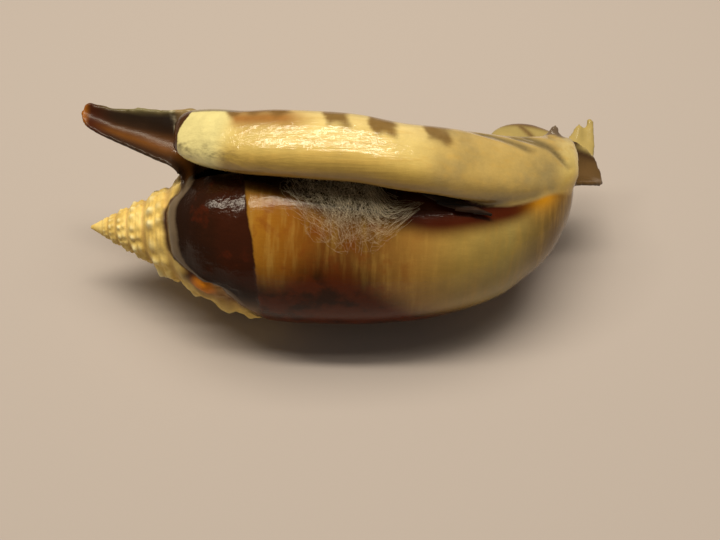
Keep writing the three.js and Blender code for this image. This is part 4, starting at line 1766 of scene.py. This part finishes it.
        lip_share = ease(np.minimum(body, 0.6) - lip, -0.4, 0.05)
        across, rise = self.lip.own_places(points)
        finger_across, finger_rise = self.finger.own_places(points)
        spire = np.maximum(1 - ease(whorls, 0.2, 0.9), hill(angle - 122, 26) * (1 - ease(x, 26, 32)))
        relief = COIL.spire_relief(x, angle) / COIL.nodule_rise
        knobs = COIL.knob_relief(x, angle)
        slanted = x - 1.6 * (1 - across) + 0.35 * ripple((9 * across, 0.4), (23 * across + x / 2, 1.9))
        top_blotches = sum(
            ease(slanted, start - 0.6, start + 0.6) * (1 - ease(slanted, end - 0.9, end + 0.9))
            * ease(across + 0.03 * np.sin(2.1 * x), deep - 0.14, deep + 0.1)
            for start, end, deep in BLOTCHES)
        fields = {
            "axial": (x - 22.0) / 42.0,
            "spire": spire,
            # Paler on raised beads and knobs: own cream with painted highlight
            "nodule": np.clip(spire * (relief - 0.35) * 1.3, 0, 1) * 0.8 + 0.5 * ease(knobs, 0.5, 2.4),
            # Darker in the spire's recesses: own tone with painted shade
            "hollow": np.clip(-relief * 1.6, 0, 1) * spire * 0.8,
            "past_edge": np.where(angle < 149, x - along(COIL.callus_edge, angle), -5.0),
            "past_step": np.where(angle < 132, x - along(COIL.step_edge, angle), -5.0) + 6 * ease(x, 27, 36),
            # Painted shade with the own dark colour: where the body darkens low down
            "low": ease(angle - along(LOW_EDGE, x), -12, 16) * (1 - 0.6 * ease(x, 47, 58)),
            # Painted shade: where the glaze close under the lip is darkened
            "top": 1 - ease(angle - along(TOP_EDGE, x), -7, 7),
            "red": ease(x, 40, 49),
            "knob": ease(hill(COIL.from_spot(x, angle, 17.6, 84), 2.1), 0.3, 0.8),
            "crack": hill(x - 12.5 - 1.2 * (1 - finger_across), 0.22) * ease(finger_across, 0.4, 0.6),
            "feather": ease(x - 12.6 - 1.2 * (1 - finger_across), 0, 0.4) * ease(finger_across, 0.5, 0.7),
            "ridged": lip_share * (1 - ease(x, 40, 52)),
            "pitted": ease(x - along(COIL.callus_edge, angle), 2.5, 4.0) * (1 - ease(x, 22.8, 23.8)),
            "spot": hill(COIL.from_spot(x, angle, 62.2, 16), 2.0),
            # Painted shade: where the roll's creases are darkened
            "crease": self.lip.crease(x, across) * lip_share,
            "peak": 1 - ease(near.to(points, "peak"), 0.1, 0.5),
            "lip": lip_share,
            "lip_across": across,
            "lip_end": 1 - ease(x + 2 * (1 - across), 20.5, 23.5),
            "blotch": top_blotches,
            "amber": ease(slanted, 20.6, 22) * (1 - ease(slanted, 28, 33)) * hill(across - 0.76, 0.16),
            "lip_rim": ease(across, 0.86, 0.93) * (1 - ease(x, 21, 24)),
            "low_smudge": hill(across - 0.16, 0.13) * (1 - ease(x, 21, 25)),
            "lip_start": 1 - ease(x - 1.6 * ease(across, 0.45, 0.95), 13.8, 14.9),
            "thin": ease(angle, 80, 104) * ease(x, 19, 22) * (1 - ease(x, 24.5, 26)),
            "dark_ring": hill(COIL.from_spot(x, angle, 16.4, 76), 2.2),
            "smudge": ease(x, 44, 50) * (1 - ease(x, 63, 66)),
            "lip_back": ease(across, 1.03, 1.16),
            "finger": owned(finger, body, lip),
            "finger_across": finger_across,
            "finger_tip": 1 - ease(x, 0.2, 1.3),
            "tip_band": 1 - ease(x, 1.0, 5.0),
            "finger_back": 1 - ease(finger_rise, -3.6, -2.9),
            "canal": owned(canal, body, lip),
            "canal_rim": ease(points[:, 1], 12.6, 14.2),
            "fold": owned(fold, body, lip),
            # The fold's far edge, its own brown, and painted shade in its groove line
            "fold_line": np.maximum(
                ease(points[:, 1], 13.2, 14.8), 0.8 * hill(x - 61.9 + 0.8 * (points[:, 1] - 11.5), 0.6)),
            "prong": owned(prong, body) * ease(points[:, 1], 13.6, 14.6),
            # The slit's walls, painted near-black: own dark brown with painted shade
            "inside": (1 - ease(space, 0.2, 0.6)) * (radius < COIL.smooth_radius(x, angle) - 0.35),
            "limb": 1 - owned(body, np.minimum.reduce([lip, finger, canal, fold, prong, space])),
        }
        for name, values in fields.items():
            attribute(whole, name, np.clip(values, -8, 8))

    def build(self, effects: Effects) -> bpy.types.Object:
        """Make and dress the shell.

        Args:
            effects: The node groups that the finishes share.

        Returns:
            The finished shell.
        """
        made = self.parts()
        near = Distances(made)
        whole = self.joined(made)
        self.refine_spire(whole)
        self.carve(whole, near)
        self.mark(whole, near)
        whole.name = "dressed_shell"
        only(whole)
        bpy.ops.object.shade_smooth()
        dress(whole, self.finish.material(effects))
        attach(whole, "root")
        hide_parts("shell")
        return whole


@dataclass(frozen=True)
class HornFinish:
    """Dark brown horn, laid down in fine layers."""

    dark: Colour = (20, 11, 6)
    light: Colour = (52, 30, 14)
    specular: float = 0.3

    def material(self, effects: Effects) -> bpy.types.Material:
        """Build the material.

        Args:
            effects: The node groups that the finishes share.

        Returns:
            The material.
        """
        material, work, shader = new_material("layered_horn")
        place = work.place()
        layers = work.streaks(place, (300, 2400, 2400))
        colour = work.mixed(work.between(layers, 0.35, 0.7), self.dark, self.light)
        toned = effects.cloud.place(work, Colour=colour, Place=place, Patch_Scale=700.0, Depth=0.25,
                                    Speckle=0.1)
        work.feed(shader.inputs["Base Color"], toned["Colour"])
        work.feed(shader.inputs["Roughness"], work.scaled(toned["Patches"], 0.5, 0.65))
        shader.inputs["Specular IOR Level"].default_value = self.specular
        relief = effects.grain.place(work, Place=place, Lines=0.8, Grain=0.2, Grain_Scale=5000.0)
        work.feed(shader.inputs["Normal"], work.bump(relief["Height"], 0.4, distance=0.0002))
        return material


@dataclass
class Operculum:
    """The horny operculum: a narrow claw with saw teeth along one edge."""

    path: tuple[tuple[float, float, float], ...] = ((43, -10, 0.85), (49, 11, 0.78), (55, 25, 0.76))
    width: float = 1.5
    thickness: float = 0.3
    teeth: int = 6
    tooth_depth: float = 0.28
    sections: int = 97
    finish: HornFinish = field(default_factory=HornFinish)

    def build(self, effects: Effects) -> bpy.types.Object:
        """Make and dress the operculum.

        Args:
            effects: The node groups that the finishes share.

        Returns:
            The finished operculum.
        """
        x, angle, lift = np.array(self.path).T
        points = COIL.place(x, angle, COIL.radius(x, angle) + lift)
        line = arc_through(points, self.sections)
        heading = np.gradient(line, axis=0)
        heading = heading / np.linalg.norm(heading, axis=1)[:, None]
        side = np.cross(heading, np.column_stack([np.zeros(len(line)), line[:, 1], line[:, 2]]))
        side = side / np.linalg.norm(side, axis=1)[:, None]
        up = np.cross(side, heading)
        turn = np.linspace(0, 2 * math.pi, 28, endpoint=False)
        sections = []
        for i, centre in enumerate(line):
            share = i / (len(line) - 1)
            half = self.width * max(0.12, math.sin(math.pi * (0.18 + 0.8 * share))) / 2 + 0.1
            ramp = (share * self.teeth) % 1.0
            tooth = self.tooth_depth * (1 - ramp) ** 0.8 * min(1.0, 4 * (1 - share))
            layer = 0.03 * math.sin(share * 60)
            reach = np.where(np.cos(turn) > 0, half + tooth * np.maximum(np.cos(turn), 0) ** 3, half)
            across = np.outer(np.cos(turn) * reach, side[i])
            thick = self.thickness * (1 + layer) * np.abs(np.sin(turn)) ** 0.9 * np.sign(np.sin(turn))
            sections.append(centre + across + np.outer(thick, up[i]))
        claw = skin("horn_operculum", np.array(sections), 0.1)
        only(claw)
        bpy.ops.object.shade_smooth_by_angle(angle=math.radians(50))
        dress(claw, self.finish.material(effects))
        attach(claw, "root")
        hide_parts("operculum")
        return claw


@dataclass(frozen=True)
class FibreFinish:
    """Off-white loose fibre, soft at its edges."""

    colour: Colour = (212, 198, 168)
    sheen: float = 0.3

    def material(self, effects: Effects) -> bpy.types.Material:
        """Build the material.

        Args:
            effects: The node groups that the finishes share.

        Returns:
            The material.
        """
        material, work, shader = new_material("loose_white_fibre")
        toned = effects.cloud.place(work, Colour=paint(*self.colour), Place=work.place(),
                                    Patch_Scale=380.0, Depth=0.22, Speckle=0.12)
        work.feed(shader.inputs["Base Color"], toned["Colour"])
        work.feed(shader.inputs["Roughness"], work.scaled(toned["Patches"], 0.75, 0.95))
        shader.inputs["Sheen Weight"].default_value = self.sheen
        return material


@dataclass
class FibreWad:
    """Loose fibre tucked under the lip: many fine curved strands within the wad's form."""

    start: float = 28.0
    end: float = 46.5
    thickness: float = 1.2
    clearance: float = 0.55
    outer_angles: Curve = ((0, 18), (0.2, 36), (0.45, 47), (0.7, 43), (1, 16))
    tuck_angles: Curve = ((0, -10), (0.3, -24), (0.6, -20), (0.72, 5), (1, 12))
    strands: int = 760
    steps: int = 8
    strand_radius: float = 0.0055
    seed: int = 11
    finish: FibreFinish = field(default_factory=FibreFinish)

    def within(self, share: np.ndarray, across: np.ndarray, height: np.ndarray) -> np.ndarray:
        """Points inside the wad, from shares of its length, of its width and of its height.

        Args:
            share: Shares of the length.
            across: Shares of the width.
            height: Shares of the height.

        Returns:
            The points, one per row.
        """
        x = self.start + (self.end - self.start) * share
        near, far = along(self.tuck_angles, share), along(self.outer_angles, share)
        angle = near + (far - near) * across
        fullness = 0.35 + 0.65 * np.sin(math.pi * (0.08 + 0.84 * share))
        crown = 0.25 + 0.75 * np.sin(math.pi * across)
        lift = self.clearance + self.thickness * fullness * crown * np.clip(height, 0.02, 0.97)
        return COIL.place(x, angle, COIL.radius(x, angle) + lift)

    def build(self, effects: Effects) -> bpy.types.Object:
        """Make and dress the wad.

        Args:
            effects: The node groups that the finishes share.

        Returns:
            The finished wad.
        """
        chance = np.random.default_rng(self.seed)
        curve = bpy.data.curves.new("fibre_strands", "CURVE")
        curve.dimensions = "3D"
        curve.bevel_depth = self.strand_radius
        curve.bevel_resolution = 0
        curve.use_fill_caps = True
        t = np.linspace(-0.5, 0.5, self.steps)
        while len(curve.splines) < self.strands:
            share, across = chance.normal(0.45, 0.24), chance.normal(0.42, 0.28)
            height = chance.uniform(0, 1) ** 1.3
            heading = chance.uniform(0, math.pi)
            length = chance.uniform(0.06, 0.32)
            bow, wave, phase = chance.normal(0, 0.07), chance.uniform(0.01, 0.05), chance.uniform(0, 6.28)
            along_share = share + length * t * math.cos(heading) + bow * (t * t * 4 - 0.5)
            along_across = across + 1.4 * length * t * math.sin(heading) + wave * np.sin(9 * t + phase)
            along_height = height + 0.5 * chance.normal(0, 0.5) * t + 0.12 * np.sin(7 * t + 2 * phase)
            shares = np.concatenate([along_share, along_across])
            if shares.min() < 0 or shares.max() > 1:
                continue
            points = self.within(along_share, along_across, along_height)
            spline = curve.splines.new("POLY")
            spline.points.add(self.steps - 1)
            flat = np.column_stack([points, np.ones(self.steps)]).ravel()
            spline.points.foreach_set("co", flat)
        wad = bpy.data.objects.new("loose_fibre", curve)
        bpy.context.collection.objects.link(wad)
        only(wad)
        bpy.ops.object.convert(target="MESH")
        wad = bpy.context.object
        bpy.ops.object.shade_smooth()
        dress(wad, self.finish.material(effects))
        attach(wad, "root")
        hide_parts("fibre_wad")
        return wad


@dataclass(frozen=True)
class Lamp:
    """A soft lamp that faces the shell, in metres and watts, mirrored in its gloss or not."""

    name: str
    at: tuple[float, float, float]
    size: tuple[float, float]
    power: float
    mirrored: bool


@dataclass
class Studio:
    """Plain pale floor, soft light and the camera, in metres."""

    camera_at: tuple[float, float, float] = (0.00483, -0.07682, 0.11453)
    look_at: tuple[float, float, float] = (0.001972, -0.008417, 0.00911)
    lens: float = 45.0
    sensor: float = 36.0
    floor_colour: Colour = (187, 178, 175)
    floor_size: float = 1.6
    floor_roughness: float = 0.8
    lamp_colour: Colour = (255, 243, 220)
    lamps: tuple[Lamp, ...] = (
        Lamp("overhead", (0.03, 0.10, 0.42), (0.34, 0.24), 1.3, False),
        Lamp("strip", (-0.08, 0.05, 0.42), (0.44, 0.035), 1.1, True),
    )
    room_colour: Colour = (232, 220, 200)
    room_strength: float = 0.14

    def floor(self) -> bpy.types.Object:
        """Lay the floor, a wide plane.

        Returns:
            The floor.
        """
        floor = added("floor", bpy.ops.mesh.primitive_plane_add, size=self.floor_size)
        material = bpy.data.materials.new("pale_floor")
        material.use_nodes = True
        shader = material.node_tree.nodes["Principled BSDF"]
        shader.inputs["Base Color"].default_value = paint(*self.floor_colour)
        shader.inputs["Roughness"].default_value = self.floor_roughness
        floor.data.materials.append(material)
        return floor

    def hang(self, lamp: Lamp) -> None:
        """Hang one lamp, its long side level with the coiling axis.

        Args:
            lamp: The lamp to hang.
        """
        light = bpy.data.lights.new(lamp.name, "AREA")
        light.shape = "RECTANGLE"
        light.size, light.size_y = lamp.size
        light.energy = lamp.power
        light.color = paint(*self.lamp_colour)[:3]
        holder = bpy.data.objects.new(lamp.name, light)
        bpy.context.collection.objects.link(holder)
        holder.visible_glossy = lamp.mirrored
        holder.location = lamp.at
        facing = (Vector(lamp.at) - Vector(self.look_at)).normalized()
        side = (Vector((1, 0, 0)) - facing * facing.x).normalized()
        holder.rotation_euler = Matrix((side, facing.cross(side), facing)).transposed().to_euler()

    def camera(self) -> None:
        """Stand the camera at the photograph's angle."""
        data = bpy.data.cameras.new("camera")
        data.lens = self.lens
        data.sensor_width = self.sensor
        data.sensor_fit = "HORIZONTAL"
        data.clip_start = 0.005
        camera = bpy.data.objects.new("camera", data)
        bpy.context.collection.objects.link(camera)
        camera.location = self.camera_at
        way = Vector(self.look_at) - Vector(self.camera_at)
        camera.rotation_euler = way.to_track_quat("-Z", "Y").to_euler()
        bpy.context.scene.camera = camera

    def room(self) -> None:
        """Fill the room with faint even light."""
        world = bpy.data.worlds.new("soft_room")
        world.use_nodes = True
        background = world.node_tree.nodes["Background"]
        background.inputs["Color"].default_value = paint(*self.room_colour)
        background.inputs["Strength"].default_value = self.room_strength
        bpy.context.scene.world = world
        bpy.context.scene.view_settings.view_transform = "Standard"

    def build(self) -> None:
        """Set up the whole studio."""
        self.floor()
        for lamp in self.lamps:
            self.hang(lamp)
        self.camera()
        self.room()


def main() -> None:
    """Build every piece in order and note the sizes."""
    logging.basicConfig(level=logging.INFO, format="%(name)s: %(message)s")
    Studio().build()
    effects = Effects()
    for piece in (Shell(), Operculum(), FibreWad()):
        made = piece.build(effects)
        made.data.calc_loop_triangles()
        LOG.info("%s has %d triangles", made.name, len(made.data.loop_triangles))


if __name__ == "__main__":
    main()
